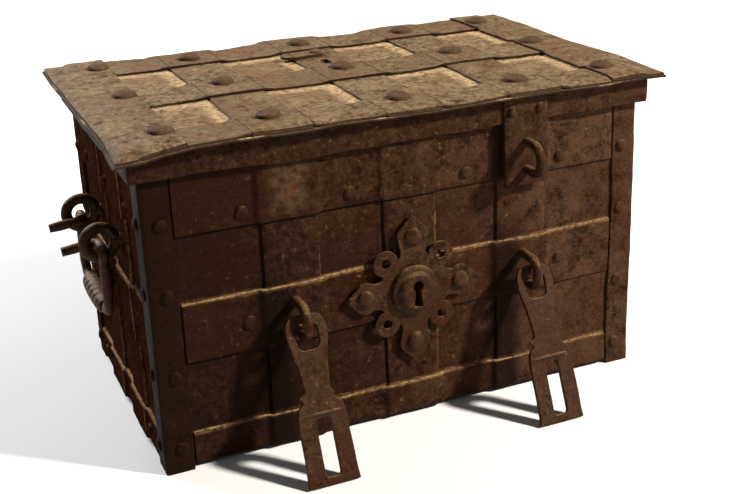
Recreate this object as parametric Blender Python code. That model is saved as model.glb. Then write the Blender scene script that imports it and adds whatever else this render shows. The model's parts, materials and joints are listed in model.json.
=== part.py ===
"""An iron-bound strongbox of the kind used as a church donation box.

The chest is five iron plates held by corner irons and a lattice of riveted straps. A hinged lid
carries a lock on its underside, worked by a key from above, and two hasps on the front close over
staples for padlocks. The keyhole on the front is a false one.

Metres, +Z up, the front faces -Y. The origin is the centre of the bottom plate's underside, and
the feet of the corner irons reach a little below it.
"""

import math

import bmesh
import bpy
from mathutils import Matrix, Vector

OBJECT_NAME = "donation_box"

# ---- clearances -------------------------------------------------------------------------------
GAP = 0.0003            # between pieces that touch
BUTT_GAP = 0.0016       # between a band's end and the corner iron beside it
RUNNING_GAP = 0.0010    # round a lever, bolt or knuckle that moves
ROD_PLAY = 0.0010       # under a handle's rod in its eye

# ---- chest ------------------------------------------------------------------------------------
CHEST_WIDTH = 0.594     # over the side plates
CHEST_DEPTH = 0.346     # over the front and back plates
CHEST_HEIGHT = 0.3665   # underside of the bottom plate to the top of the walls
PLATE_T = 0.003
STRAP_T = 0.003
FOOT_DROP = 0.006       # corner irons below the bottom plate
CORNER_LEG = 0.033
CORNER_RIVET_SHARE = 0.62   # of the leg, from its outer corner to its rivets
CORNER_RIVET_LEVELS = (0.063, 0.297, 0.554, 0.772)      # shares of the chest's height
RIM_WIDTH = 0.020
RIM_T = 0.0045

# ---- straps and bands of the walls ------------------------------------------------------------
UPRIGHT_WIDTH = 0.064
UPRIGHT_PITCH = 0.239 * CHEST_WIDTH
UPRIGHT_SHORT = 0.0215      # uprights and corner irons end below the top of the walls
SIDE_UPRIGHT_PITCH = 0.312 * CHEST_DEPTH
SIDE_UPRIGHT_SHIFT = -0.008     # the carrying handles hang a little ahead of the middle
LOWER_BAND_WIDTH = 0.038
MIDDLE_BAND_WIDTH = 0.069
UPPER_BAND_WIDTH = 0.078
BACK_BAND_WIDTH = 0.068
BAND_CENTRE = 0.427 * CHEST_HEIGHT      # middle of the middle band
RAMP = 0.004            # length over which a band steps up on to the strap beneath it

# ---- rivets -----------------------------------------------------------------------------------
RIVET_RADIUS = 0.0075
RIVET_HEIGHT = 0.004
RIVET_ROOT = 0.0015     # how far a head reaches into its strap
FRONT_RIVET_PAST = 0.020    # rivets beyond the outer uprights' edges
LOW_RIVET_PAST = 0.026
BACK_RIVET_PAST = 0.051
SIDE_RIVETS_PAST = (0.018, 0.034)       # beyond the front and the rear upright
SIDE_TOP_RIVETS_PAST = (0.013, 0.029)
LEAF_RIVET_LEVELS = (0.080, 0.160)
LID_RIVET_RADIUS = 0.0125
LID_RIVET_HEIGHT = 0.0055

# ---- lid --------------------------------------------------------------------------------------
SKIRT_DROP = 0.0335     # below the top of the walls
SKIRT_T = 0.003
SKIRT_STAND = 0.010     # skirt's outer face beyond the corner irons
SHEET_T = 0.003
SHEET_OVERHANG = 0.0145     # sheet beyond the skirt at the front and the ends
BACK_OVERHANG = 0.026       # sheet beyond the skirt at the back, over the hinges
LID_STRAP_WIDTH = 0.067
END_STRAP_WIDTH = 0.073
END_STRAP_LAP = 0.62        # share of an end strap that lies over the bands' ends
BAND_EDGE_SET = 0.002       # a lid strap's edge inside the sheet's edge
FRONT_LID_BAND_WIDTH = 0.059
MIDDLE_LID_BAND = (-0.040, 0.033)
BACK_LID_BAND_SET = 0.0813      # its front edge, in from the sheet's back edge
FRONT_ROW_SET = 0.0488      # rivet rows, in from the sheet's front and back edges
BACK_ROW_SET = 0.0523
MIDDLE_ROW = 0.012
END_RIVET_SET = 0.060       # end rivets in from the sheet's end
LOCK_SHARE = 0.296          # keyhole's place between the middle band and the back band

# ---- staples and hasps ------------------------------------------------------------------------
STAPLE_ROD = 0.0088
STAPLE_HEIGHT = 0.045
HASP_STAPLE_REACH = 0.044
TAB_STAPLE_REACH = 0.037
HASP_BAR_RADIUS = 0.005
HASP_T = 0.005
HASP_LEAN_DEG = 23.65       # the toe stands forward on the floor
HASP_BAR_RISE = 0.0035      # bar centre above the middle of its staple
HASP_EYE = (0.026, 0.029)   # opening: width, length
HASP_HEAD_WIDTH = 0.048
HASP_WAIST_WIDTH = 0.031
HASP_WAIST_UP = 0.1025      # waist, shoulder and slot, up from the toe
HASP_SHOULDER_WIDTH = 0.054
HASP_SHOULDER_UP = 0.0845
HASP_TOE_WIDTH = 0.060
HASP_SLOT_WIDTH = 0.017
HASP_SLOT_UP = (0.0735, 0.0095)
HASP_EYE_CHAMFER = 0.005
HASP_BAR_OUT = 0.0235       # bar centre in front of the wall's bands
TAB_WIDTH = 0.057
TAB_DROP = 0.073            # below the skirt
TAB_T = 0.003
TAB_STAPLE_DIP = 0.0025     # staple's middle below the slot's, when the hasp is up

# ---- false lock plate -------------------------------------------------------------------------
ESCUTCHEON_T = 0.003
ESCUTCHEON_ARM_UP = 0.091
ESCUTCHEON_ARM_SIDE = 0.084
ESCUTCHEON_ARM_WIDTH = 0.038
ESCUTCHEON_WAIST = 0.030
ESCUTCHEON_POINT = 0.020
ESCUTCHEON_DISC = 0.041
LOBE_RADIUS = 0.0155
LOBE_HOLE = 0.0042
LOBE_OFFSET = (0.034, 0.037)
LOBE_SET = 0.0002           # lobes are this much thinner than the plate on each face
BOSS_RADIUS = 0.030
BOSS_HEIGHT = 0.012
ESCUTCHEON_RIVET_AT = 0.064
KEYHOLE_HEAD = 0.0065
KEYHOLE_FOOT = 0.0055
KEYHOLE_DROP = 0.026
KEYHOLE_RISE = 0.008        # its round head above the boss's middle

# ---- carrying handles -------------------------------------------------------------------------
EYE_LEVEL = 0.234
EYE_RADIUS = 0.017          # to the middle of the eye's rod
EYE_ROD = 0.006             # radius
HANDLE_ROD = 0.0055         # radius
HANDLE_DROP = 0.076         # pivot to the middle of the grip
GRIP_RADIUS = 0.0118
GRIP_LENGTH = 0.092
STUB_LENGTH = 0.040         # stubs that stop the handle on the wall
STUB_DIP = 0.004

# ---- lid hinges -------------------------------------------------------------------------------
HINGE_LEAF_WIDTH = 0.060
RIVET_SPREAD = 0.018        # rivets from a leaf's middle
HINGE_PIN_PROUD = 0.002
HINGE_PIN_RADIUS = 0.003
HINGE_PIN_PLAY = 0.00025
KNUCKLE_RADIUS = 0.0062
HINGE_DROP = 0.041          # pin below the top of the walls
LEAF_BEND_DROP = 0.0355     # where the leaf leaves the back plate, below the pin
BACK_BAND_DROP = 0.017      # upper back band below that bend
LID_LEAF_SHORT = 0.0065     # top of the lid's leaf below the top of the walls

# ---- lock under the lid -----------------------------------------------------------------------
LOCK_PLATE_T = 0.003
LOCK_PLATE_CLEAR = 0.024    # plate's edge inside the rim's mouth
BOLT_T = 0.008
BOLT_WIDTH = 0.018
BOLT_SET_BACK = 0.004       # tips clear of the rim when the lock is open
PIN_CIRCLE = 0.034          # driving pins' distance from the lock's centre
PIN_RADIUS = 0.0035
LOCK_SWING_DEG = 32.0
TAIL = 0.009                # bolt beyond its driving pin
DRIVER_T = 0.004
FRONT_HEADS_SHARE = 0.60    # of the lock plate's half length, to the front bolt's heads
CROSS_BAR_SET = 0.045       # front bolt's cross bar, in from the plate's front edge
DRIVER_MARGIN = 0.010       # driver's rim beyond its pins
GUIDE_T = 0.003
GUIDE_SET = 0.012
GUIDE_HALF = 0.008
GUIDE_CHEEK = 0.006         # metal on each side of a bolt in its guide
PIN_PLAY = 0.0005
SLOT_SHARE = 0.72           # of a bolt's width, taken by the slot for its pin
KEY_HOLE_SIZE = (0.011, 0.022)
COVER_PIVOT_Y = 0.036       # behind the keyhole
COVER_T = 0.003
COVER_HALF = 0.0125

# ---- colours (linear) -------------------------------------------------------------------------
WALL_IRON = (0.050, 0.026, 0.018)
BAND_IRON = (0.066, 0.035, 0.023)
SIDE_IRON = (0.035, 0.018, 0.014)
LID_IRON = (0.150, 0.105, 0.065)
FITTING_IRON = (0.085, 0.055, 0.038)
LOCK_IRON = (0.070, 0.060, 0.052)

# ---- worked-out places ------------------------------------------------------------------------
HALF_W = CHEST_WIDTH / 2
HALF_D = CHEST_DEPTH / 2
IRON_OUT = GAP + STRAP_T                    # plate's face to a strap's face
BULGE_OUT = 2 * IRON_OUT                    # plate's face to a band's face over a strap
SKIRT_X = HALF_W + IRON_OUT + SKIRT_STAND
SKIRT_Y = HALF_D + IRON_OUT + SKIRT_STAND
SHEET_X = SKIRT_X + SHEET_OVERHANG
SHEET_FRONT = -SKIRT_Y - SHEET_OVERHANG
SHEET_BACK = SKIRT_Y + BACK_OVERHANG
SHEET_Z = CHEST_HEIGHT + GAP                # underside of the lid's sheet
LID_TOP = SHEET_Z + SHEET_T                 # top of the sheet
LID_STRAP_TOP = LID_TOP + IRON_OUT
UPRIGHT_TOP = CHEST_HEIGHT - UPRIGHT_SHORT
UPPER_BAND_CENTRE = UPRIGHT_TOP - UPPER_BAND_WIDTH / 2
SKIRT_BOTTOM = CHEST_HEIGHT - SKIRT_DROP
TAB_BOTTOM = SKIRT_BOTTOM - TAB_DROP
WALL_FACE = -HALF_D - BULGE_OUT             # front of the bands where they pass over a strap
HASP_PIVOT = Vector((0, WALL_FACE - HASP_BAR_OUT, BAND_CENTRE + HASP_BAR_RISE))
HASP_LEAN = math.radians(HASP_LEAN_DEG)
HASP_LENGTH = (HASP_PIVOT.z + FOOT_DROP - HASP_T / 2) / math.cos(HASP_LEAN)     # bar to toe
HASP_SLOT = (HASP_LENGTH - HASP_SLOT_UP[0], HASP_LENGTH - HASP_SLOT_UP[1])
TAB_STAPLE_LEVEL = HASP_PIVOT.z + sum(HASP_SLOT) / 2 - TAB_STAPLE_DIP
LID_STRAP_PITCH = 0.4587 * SHEET_X
BACK_LID_BAND_FRONT = SHEET_BACK - BACK_LID_BAND_SET
LID_RIVET_ROWS = (SHEET_FRONT + FRONT_ROW_SET, MIDDLE_ROW, SHEET_BACK - BACK_ROW_SET)
HINGE_Y = SKIRT_Y + GAP + KNUCKLE_RADIUS
HINGE_LEVEL = CHEST_HEIGHT - HINGE_DROP
LEAF_BEND = HINGE_LEVEL - LEAF_BEND_DROP
LID_LEAF_TOP = CHEST_HEIGHT - LID_LEAF_SHORT
BACK_BAND_CENTRE = LEAF_BEND - BACK_BAND_DROP - BACK_BAND_WIDTH / 2
LOCK_Y = MIDDLE_LID_BAND[1] + LOCK_SHARE * (BACK_LID_BAND_FRONT - MIDDLE_LID_BAND[1])
LOCK_CENTRE = Vector((0, LOCK_Y, 0))
RIM_UNDER = CHEST_HEIGHT - RIM_T
LOCK_PLATE_Z = SHEET_Z - GAP - LOCK_PLATE_T
BOLT_TOP = min(RIM_UNDER, LOCK_PLATE_Z) - RUNNING_GAP
BOLT_BOTTOM = BOLT_TOP - BOLT_T
RIM_X = HALF_W - PLATE_T - GAP - RIM_WIDTH
RIM_Y = HALF_D - PLATE_T - GAP - RIM_WIDTH
BOLT_TIP_X = RIM_X - BOLT_SET_BACK
BOLT_TIP_Y = RIM_Y - BOLT_SET_BACK


# ---- small tools ------------------------------------------------------------------------------
def clear_scene():
    for thing in list(bpy.data.objects):
        bpy.data.objects.remove(thing, do_unlink=True)


def new_collection(name):
    made = bpy.data.collections.new(name)
    bpy.context.scene.collection.children.link(made)
    return made


def iron(name, colour, roughness=0.75, metallic=0.55):
    made = bpy.data.materials.new(name)
    made.use_nodes = True
    shader = made.node_tree.nodes["Principled BSDF"]
    shader.inputs["Base Color"].default_value = (*colour, 1)
    shader.inputs["Roughness"].default_value = roughness
    shader.inputs["Metallic"].default_value = metallic
    made.diffuse_color = (*colour, 1)
    return made


def object_from(bm, name, collection):
    """An object from a bmesh, with its faces pointing out. The bmesh is freed."""
    bmesh.ops.remove_doubles(bm, verts=bm.verts, dist=1e-6)
    bmesh.ops.recalc_face_normals(bm, faces=bm.faces)
    mesh = bpy.data.meshes.new(name)
    bm.to_mesh(mesh)
    bm.free()
    made = bpy.data.objects.new(name, mesh)
    collection.objects.link(made)
    return made


def add_box(bm, low, high):
    low, high = Vector(low), Vector(high)
    size = Matrix.Diagonal((*(high - low), 1))
    bmesh.ops.create_cube(bm, size=1, matrix=Matrix.Translation((low + high) / 2) @ size)


def facing(place, outward):
    """A matrix that carries +Z to the outward direction, at a place."""
    turn = Vector((0, 0, 1)).rotation_difference(Vector(outward))
    return Matrix.Translation(place) @ turn.to_matrix().to_4x4()


def add_rivet(bm, place, outward, radius=RIVET_RADIUS, height=RIVET_HEIGHT, sides=8):
    """A domed head whose foot is sunk a little below the place on the strap's face."""
    dome = bmesh.new()
    squash = Matrix.Diagonal((1, 1, height / radius, 1))
    bmesh.ops.create_uvsphere(dome, u_segments=sides, v_segments=6, radius=radius, matrix=squash)
    cut = bmesh.ops.bisect_plane(
        dome,
        geom=dome.verts[:] + dome.edges[:] + dome.faces[:],
        plane_co=(0, 0, -RIVET_ROOT),
        plane_no=(0, 0, -1),
        clear_outer=True,
    )
    rim = [piece for piece in cut["geom_cut"] if isinstance(piece, bmesh.types.BMEdge)]
    bmesh.ops.contextual_create(dome, geom=rim)
    bmesh.ops.transform(dome, matrix=facing(place, outward), verts=dome.verts)
    held = bpy.data.meshes.new("rivet_head")
    dome.to_mesh(held)
    dome.free()
    bm.from_mesh(held)
    bpy.data.meshes.remove(held)


def add_rod(bm, start, end, radius, sides=12):
    """A round bar between two points."""
    start, end = Vector(start), Vector(end)
    place = facing((start + end) / 2, (end - start).normalized())
    bmesh.ops.create_cone(
        bm, cap_ends=True, segments=sides, radius1=radius, radius2=radius,
        depth=(end - start).length, matrix=place,
    )


def add_rings(bm, rings):
    """A closed skin over rings of vertices, with a cap on each end."""
    for lower, upper in zip(rings, rings[1:]):
        for step in range(len(lower)):
            after = (step + 1) % len(lower)
            bm.faces.new((lower[step], lower[after], upper[after], upper[step]))
    bm.faces.new(rings[0])
    bm.faces.new(rings[-1])


def curve_mesh(name, splines, collection, half_thickness=0, rod_radius=0, matrix=None):
    """A flat outline with a thickness, or a rod along a path, as a mesh object."""
    flat = not rod_radius
    data = bpy.data.curves.new(name, "CURVE")
    data.dimensions = "2D" if flat else "3D"
    if flat:
        data.fill_mode = "BOTH"
        data.extrude = half_thickness
    else:
        data.bevel_depth = rod_radius
        data.bevel_resolution = 2
        data.use_fill_caps = True
    for points in splines:
        spline = data.splines.new("POLY")
        spline.points.add(len(points) - 1)
        for held, point in zip(spline.points, points):
            held.co = (*point, 0, 1) if flat else (*point, 1)
        spline.use_cyclic_u = flat
    drawn = bpy.data.objects.new(name + "_curve", data)
    collection.objects.link(drawn)
    bpy.context.view_layer.update()
    graph = bpy.context.evaluated_depsgraph_get()
    mesh = bpy.data.meshes.new_from_object(drawn.evaluated_get(graph))
    bm = bmesh.new()
    bm.from_mesh(mesh)
    bpy.data.meshes.remove(mesh)
    bpy.data.objects.remove(drawn, do_unlink=True)
    if matrix is not None:
        bmesh.ops.transform(bm, matrix=matrix, verts=bm.verts)
    return object_from(bm, name, collection)


def axes(origin, along, across, outward):
    """A matrix from (along, outward, across) coordinates of a flat outline to the chest's."""
    columns = (Vector(along), Vector(outward), Vector(across))
    turn = Matrix.Identity(4)
    for index, column in enumerate(columns):
        for row in range(3):
            turn[row][index] = column[row]
    return Matrix.Translation(origin) @ turn


def arc(centre, radius, start_deg, end_deg, steps):
    """Points on a circle, both ends included."""
    turn = math.radians(end_deg - start_deg) / steps
    first = math.radians(start_deg)
    return [
        (centre[0] + radius * math.cos(first + turn * step),
         centre[1] + radius * math.sin(first + turn * step))
        for step in range(steps + 1)
    ]


def rounded_path(corners, radii, steps=3):
    """A path through corners, with each inner corner turned as an arc of about its radius."""
    points = [Vector(corners[0])]
    for index in range(1, len(corners) - 1):
        before, corner, after = (Vector(corners[index + k]) for k in (-1, 0, 1))
        into, out = (before - corner).normalized(), (after - corner).normalized()
        reach = radii[index - 1]
        for step in range(steps + 1):
            share = step / steps
            entry, leave = corner + into * reach, corner + out * reach
            first = entry.lerp(corner, share)
            second = corner.lerp(leave, share)
            points.append(first.lerp(second, share))
    points.append(Vector(corners[-1]))
    return points


def stepped_outline(start, end, crossings, thickness=STRAP_T, rise=IRON_OUT):
    """The side view of a band: (run, height) points. It steps over each (centre, width) strap."""
    lean = thickness * math.tan(math.pi / 8)
    under, over = [(start, 0)], [(start, thickness)]
    for centre, width in crossings:
        near, far = centre - width / 2 - GAP, centre + width / 2 + GAP
        if near - RAMP <= start:
            under[0], over[0] = (start, rise), (start, rise + thickness)
        else:
            under += [(near - RAMP, 0), (near, rise)]
            over += [(near - RAMP - lean, thickness), (near - lean, rise + thickness)]
        if far + RAMP >= end:
            under.append((end, rise))
            over.append((end, rise + thickness))
            return under + over[::-1]
        under += [(far, rise), (far + RAMP, 0)]
        over += [(far + lean, rise + thickness), (far + RAMP + lean, thickness)]
    under.append((end, 0))
    over.append((end, thickness))
    return under + over[::-1]


class Bench:
    """Keeps the parts and the cutters in their collections, and dresses each part."""

    def __init__(self):
        self.parts = new_collection(OBJECT_NAME)
        self.tools = new_collection("cutters")

    def part(self, made, colour, smooth=False, roughness=0.75):
        made.data.materials.clear()
        made.data.materials.append(iron(made.name + "_iron", colour, roughness))
        if smooth:
            made.data.shade_smooth()
            made.data.set_sharp_from_angle(angle=math.radians(40))
        return made

    def box(self, name, low, high, colour):
        bm = bmesh.new()
        add_box(bm, low, high)
        return self.part(object_from(bm, name, self.parts), colour)

    def outline(self, name, splines, thickness, matrix, colour):
        made = curve_mesh(name, splines, self.parts, half_thickness=thickness / 2, matrix=matrix)
        return self.part(made, colour)

    def hide(self, made):
        made.hide_render = True
        made.display_type = "WIRE"
        return made

    def tool(self, bm, name):
        return self.hide(object_from(bm, name, self.tools))

    def boolean(self, made, operand, operation):
        change = made.modifiers.new(operation.lower() + "_" + operand.name, "BOOLEAN")
        change.operation = operation
        change.object = operand
        change.solver = "EXACT"
        return made

    def rivets(self, made, places, outward, **sizes):
        """Fixes rivet heads on a piece. Each place is on the piece's face."""
        bm = bmesh.new()
        for place in places:
            add_rivet(bm, place, outward, **sizes)
        return self.boolean(made, self.tool(bm, made.name + "_rivets"), "UNION")

    def union(self, made, bm, label):
        return self.boolean(made, self.tool(bm, made.name + "_" + label), "UNION")

    def cut(self, made, bm, label):
        return self.boolean(made, self.tool(bm, made.name + "_" + label), "DIFFERENCE")


def carry(name, pivot, pieces, parent=None):
    """Hangs pieces on an empty whose origin is on their joint's axis."""
    axis = bpy.data.objects.new(name, None)
    bpy.context.scene.collection.objects.link(axis)
    axis.empty_display_size = 0.02
    axis.location = pivot
    if parent is not None:
        axis.parent = parent
        axis.location = Vector(pivot) - parent_place(parent)
    for piece in pieces:
        piece.data.transform(Matrix.Translation(-Vector(pivot)))
        for change in piece.modifiers:
            change.object.data.transform(Matrix.Translation(-Vector(pivot)))
            change.object.parent = axis
        piece.parent = axis
    return axis


def parent_place(thing):
    place = Vector((0, 0, 0))
    while thing is not None:
        place = place + thing.location
        thing = thing.parent
    return place


# ---- the chest --------------------------------------------------------------------------------
def make_plates(bench):
    inner_x, inner_y = HALF_W - PLATE_T - GAP, HALF_D - PLATE_T - GAP
    for name, side in (("front_plate", -1), ("back_plate", 1)):
        faces = sorted((side * HALF_D, side * (HALF_D - PLATE_T)))
        bench.box(name, (-HALF_W, faces[0], 0), (HALF_W, faces[1], CHEST_HEIGHT), WALL_IRON)
    for name, side in (("left_plate", -1), ("right_plate", 1)):
        faces = sorted((side * HALF_W, side * (HALF_W - PLATE_T)))
        bench.box(name, (faces[0], -inner_y, 0), (faces[1], inner_y, CHEST_HEIGHT), SIDE_IRON)
    bench.box("bottom_plate", (-inner_x, -inner_y, 0), (inner_x, inner_y, PLATE_T), WALL_IRON)
    rim = bench.box(
        "rim_frame", (-inner_x, -inner_y, RIM_UNDER), (inner_x, inner_y, CHEST_HEIGHT), WALL_IRON
    )
    mouth = bmesh.new()
    add_box(mouth, (-RIM_X, -RIM_Y, RIM_UNDER - RIM_T), (RIM_X, RIM_Y, CHEST_HEIGHT + RIM_T))
    bench.cut(rim, mouth, "mouth")


def corner_rivet_levels():
    return [share * CHEST_HEIGHT for share in CORNER_RIVET_LEVELS]


def make_corner_irons(bench):
    inner_x, inner_y = HALF_W + GAP, HALF_D + GAP
    outer_x, outer_y = inner_x + STRAP_T, inner_y + STRAP_T
    rivet_in = CORNER_LEG * CORNER_RIVET_SHARE
    for front, side_y in (("front", -1), ("back", 1)):
        for hand, side_x in (("left", -1), ("right", 1)):
            outline = [
                (outer_x, outer_y), (outer_x - CORNER_LEG, outer_y), (outer_x - CORNER_LEG, inner_y),
                (inner_x, inner_y), (inner_x, outer_y - CORNER_LEG), (outer_x, outer_y - CORNER_LEG),
            ]
            outline = [(x * side_x, y * side_y) for x, y in outline]
            height = UPRIGHT_TOP + FOOT_DROP
            place = Matrix.Translation((0, 0, height / 2 - FOOT_DROP))
            name = f"corner_iron_{front}_{hand}"
            made = bench.outline(name, [outline], height, place, BAND_IRON)
            heads = bmesh.new()
            for level in corner_rivet_levels():
                on_face = (side_x * (outer_x - rivet_in), side_y * outer_y, level)
                on_side = (side_x * outer_x, side_y * (outer_y - rivet_in), level)
                add_rivet(heads, on_face, (0, side_y, 0))
                add_rivet(heads, on_side, (side_x, 0, 0))
            bench.union(made, heads, "rivets")


def wall_frames():
    """Each wall: name, middle of its face, run, outward, half run, upright places, colour."""
    front_back = [-UPRIGHT_PITCH, 0, UPRIGHT_PITCH]
    half = SIDE_UPRIGHT_PITCH / 2
    ends = [SIDE_UPRIGHT_SHIFT - half, SIDE_UPRIGHT_SHIFT + half]
    return (
        ("front", (0, -HALF_D, 0), (1, 0, 0), (0, -1, 0), HALF_W, front_back, BAND_IRON),
        ("back", (0, HALF_D, 0), (1, 0, 0), (0, 1, 0), HALF_W, front_back[::2], BAND_IRON),
        ("left", (-HALF_W, 0, 0), (0, 1, 0), (-1, 0, 0), HALF_D, ends, SIDE_IRON),
        ("right", (HALF_W, 0, 0), (0, 1, 0), (1, 0, 0), HALF_D, ends, SIDE_IRON),
    )


UPRIGHT_NAMES = {
    "front": ("left", "centre", "right"), "back": (), "left": ("front", "rear"),
    "right": ("front", "rear"),
}
FRONT_BANDS = (
    ("lower", LOWER_BAND_WIDTH / 2, LOWER_BAND_WIDTH),
    ("middle", BAND_CENTRE, MIDDLE_BAND_WIDTH),
    ("upper", UPPER_BAND_CENTRE, UPPER_BAND_WIDTH),
)
BACK_BANDS = (FRONT_BANDS[0], ("upper", BACK_BAND_CENTRE, BACK_BAND_WIDTH))


def rivet_stations(wall, band, uprights):
    """Where along a band its rivets sit, clear of the straps that it steps over."""
    first, last = uprights[0] - UPRIGHT_WIDTH / 2, uprights[-1] + UPRIGHT_WIDTH / 2
    between = UPRIGHT_PITCH / 2
    if wall in ("left", "right") and band == "upper":
        return (first - SIDE_TOP_RIVETS_PAST[0], 0, last + SIDE_TOP_RIVETS_PAST[1])
    if wall in ("left", "right"):
        return (first - SIDE_RIVETS_PAST[0], last + SIDE_RIVETS_PAST[1])
    if wall == "back":
        return (first - BACK_RIVET_PAST, -between, between, last + BACK_RIVET_PAST)
    if band == "lower":
        return (first - LOW_RIVET_PAST, last + LOW_RIVET_PAST)
    outer = (first - FRONT_RIVET_PAST, last + FRONT_RIVET_PAST)
    return outer + (-between, between) if band == "upper" else outer


def make_lattice(bench):
    """Uprights flat on each wall, and bands that step over them.

    The back has no uprights of its own: the body leaves of the hinges run down it instead.
    """
    for wall, middle, run, outward, half_run, uprights, colour in wall_frames():
        run, outward, middle = Vector(run), Vector(outward), Vector(middle)
        face = middle + outward * GAP
        for station, label in zip(uprights, UPRIGHT_NAMES[wall]):
            low = face + run * (station - UPRIGHT_WIDTH / 2)
            high = face + run * (station + UPRIGHT_WIDTH / 2) + outward * STRAP_T
            corners = [[min(a, b), max(a, b)] for a, b in zip(low, high)]
            corners[2] = [0, UPRIGHT_TOP]
            bottom, top = zip(*corners)
            bench.box(f"{wall}_upright_{label}", bottom, top, colour)
        reach = half_run + IRON_OUT - CORNER_LEG - BUTT_GAP
        crossings = [(station, UPRIGHT_WIDTH) for station in uprights]
        side_view = stepped_outline(-reach, reach, crossings)
        for label, centre, width in (BACK_BANDS if wall == "back" else FRONT_BANDS):
            place = axes(face + Vector((0, 0, centre)), run, (0, 0, 1), outward)
            name = f"{wall}_band_{label}"
            made = bench.outline(name, [side_view], width, place, colour)
            level = corner_rivet_levels()[-1] if centre == UPPER_BAND_CENTRE else centre
            on_band = face + outward * STRAP_T + Vector((0, 0, level))
            heads = [on_band + run * station for station in rivet_stations(wall, label, uprights)]
            bench.rivets(made, heads, outward)


# ---- false lock plate on the front ------------------------------------------------------------
def keyhole_outline(centre):
    """A round head with a skirt that widens downwards."""
    x, z = centre
    neck = KEYHOLE_HEAD * 0.55
    head = arc((x, z), KEYHOLE_HEAD, -58, 238, 10)
    foot = [(x - KEYHOLE_FOOT, z - KEYHOLE_DROP), (x + KEYHOLE_FOOT, z - KEYHOLE_DROP)]
    return head + [(x - neck, z - KEYHOLE_HEAD * 1.2)] + foot + [(x + neck, z - KEYHOLE_HEAD * 1.2)]


def cross_outline():
    """A four-armed plate with pointed arms, before the lobes are added."""
    quarter = []
    for reach in (ESCUTCHEON_ARM_SIDE, ESCUTCHEON_ARM_UP):
        quarter.append((reach, [
            (reach, 0), (reach - ESCUTCHEON_POINT, ESCUTCHEON_ARM_WIDTH / 2),
            (reach - ESCUTCHEON_POINT * 1.6, ESCUTCHEON_ARM_WIDTH / 2),
            (BOSS_RADIUS * 1.4, ESCUTCHEON_WAIST / 2),
            (ESCUTCHEON_DISC * math.sqrt(0.5), ESCUTCHEON_DISC * math.sqrt(0.5)),
        ]))
    points = []
    for turn in range(4):
        reach, half = quarter[turn % 2]
        cos, sin = round(math.cos(turn * math.pi / 2)), round(math.sin(turn * math.pi / 2))
        arm = [(r, -w) for r, w in half[:0:-1]] + half[:-1]
        points += [(r * cos - w * sin, r * sin + w * cos) for r, w in arm]
    return points


def make_escutcheon(bench):
    under = WALL_FACE - GAP
    face = under - ESCUTCHEON_T
    place = axes((0, (under + face) / 2, BAND_CENTRE), (1, 0, 0), (0, 1, 0), (0, 0, 1))
    plate = bench.outline("escutcheon_plate", [cross_outline()], ESCUTCHEON_T, place, FITTING_IRON)
    lobes, holes = bmesh.new(), bmesh.new()
    for side_x in (-1, 1):
        for side_z in (-1, 1):
            x = side_x * LOBE_OFFSET[0]
            z = BAND_CENTRE + side_z * LOBE_OFFSET[1]
            add_rod(lobes, (x, face + LOBE_SET, z), (x, under - LOBE_SET, z), LOBE_RADIUS, 12)
            add_rod(holes, (x, face - ESCUTCHEON_T, z), (x, under + ESCUTCHEON_T, z), LOBE_HOLE, 8)
    bench.union(plate, lobes, "lobes")
    bench.cut(plate, holes, "lobe_holes")
    arm_x = ESCUTCHEON_RIVET_AT * ESCUTCHEON_ARM_SIDE / ESCUTCHEON_ARM_UP
    heads = [
        (0, face, BAND_CENTRE + ESCUTCHEON_RIVET_AT), (0, face, BAND_CENTRE - ESCUTCHEON_RIVET_AT),
        (arm_x, face, BAND_CENTRE), (-arm_x, face, BAND_CENTRE),
    ]
    bench.rivets(plate, heads, (0, -1, 0))

    boss_back = face + ESCUTCHEON_T / 2
    profile = (
        (BOSS_RADIUS, 0), (BOSS_RADIUS, 0.40), (BOSS_RADIUS * 0.86, 0.50),
        (BOSS_RADIUS * 0.70, 0.82), (BOSS_RADIUS * 0.45, 1.0),
    )
    sides = 24
    boss = bmesh.new()
    rings = [
        [boss.verts.new((radius * math.cos(turn), boss_back - height * BOSS_HEIGHT,
                         BAND_CENTRE + radius * math.sin(turn)))
         for turn in (2 * math.pi * step / sides for step in range(sides))]
        for radius, height in profile
    ]
    add_rings(boss, rings)
    bench.union(plate, boss, "boss")
    deep = 3 * BOSS_HEIGHT
    slot = axes((0, boss_back - deep / 2 + ESCUTCHEON_T, 0), (1, 0, 0), (0, 1, 0), (0, 0, 1))
    hole = curve_mesh(
        "escutcheon_keyhole", [keyhole_outline((0, BAND_CENTRE + KEYHOLE_RISE))], bench.tools,
        half_thickness=deep / 2, matrix=slot,
    )
    bench.hide(hole)
    bench.boolean(plate, hole, "DIFFERENCE")


# ---- staples, hasps and the lid's tab ---------------------------------------------------------
def make_staple(name, collection, x, wall, level, reach):
    """An upright loop of round bar that stands out of the front."""
    radius = STAPLE_ROD / 2
    half = STAPLE_HEIGHT / 2 - radius
    out = reach - radius
    corners = [
        (x, wall, level + half), (x, wall - out, level + half),
        (x, wall - out, level - half), (x, wall, level - half),
    ]
    path = rounded_path(corners, (half * 0.95, half * 0.95), 5)
    return curve_mesh(name, [path], collection, rod_radius=radius)


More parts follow.
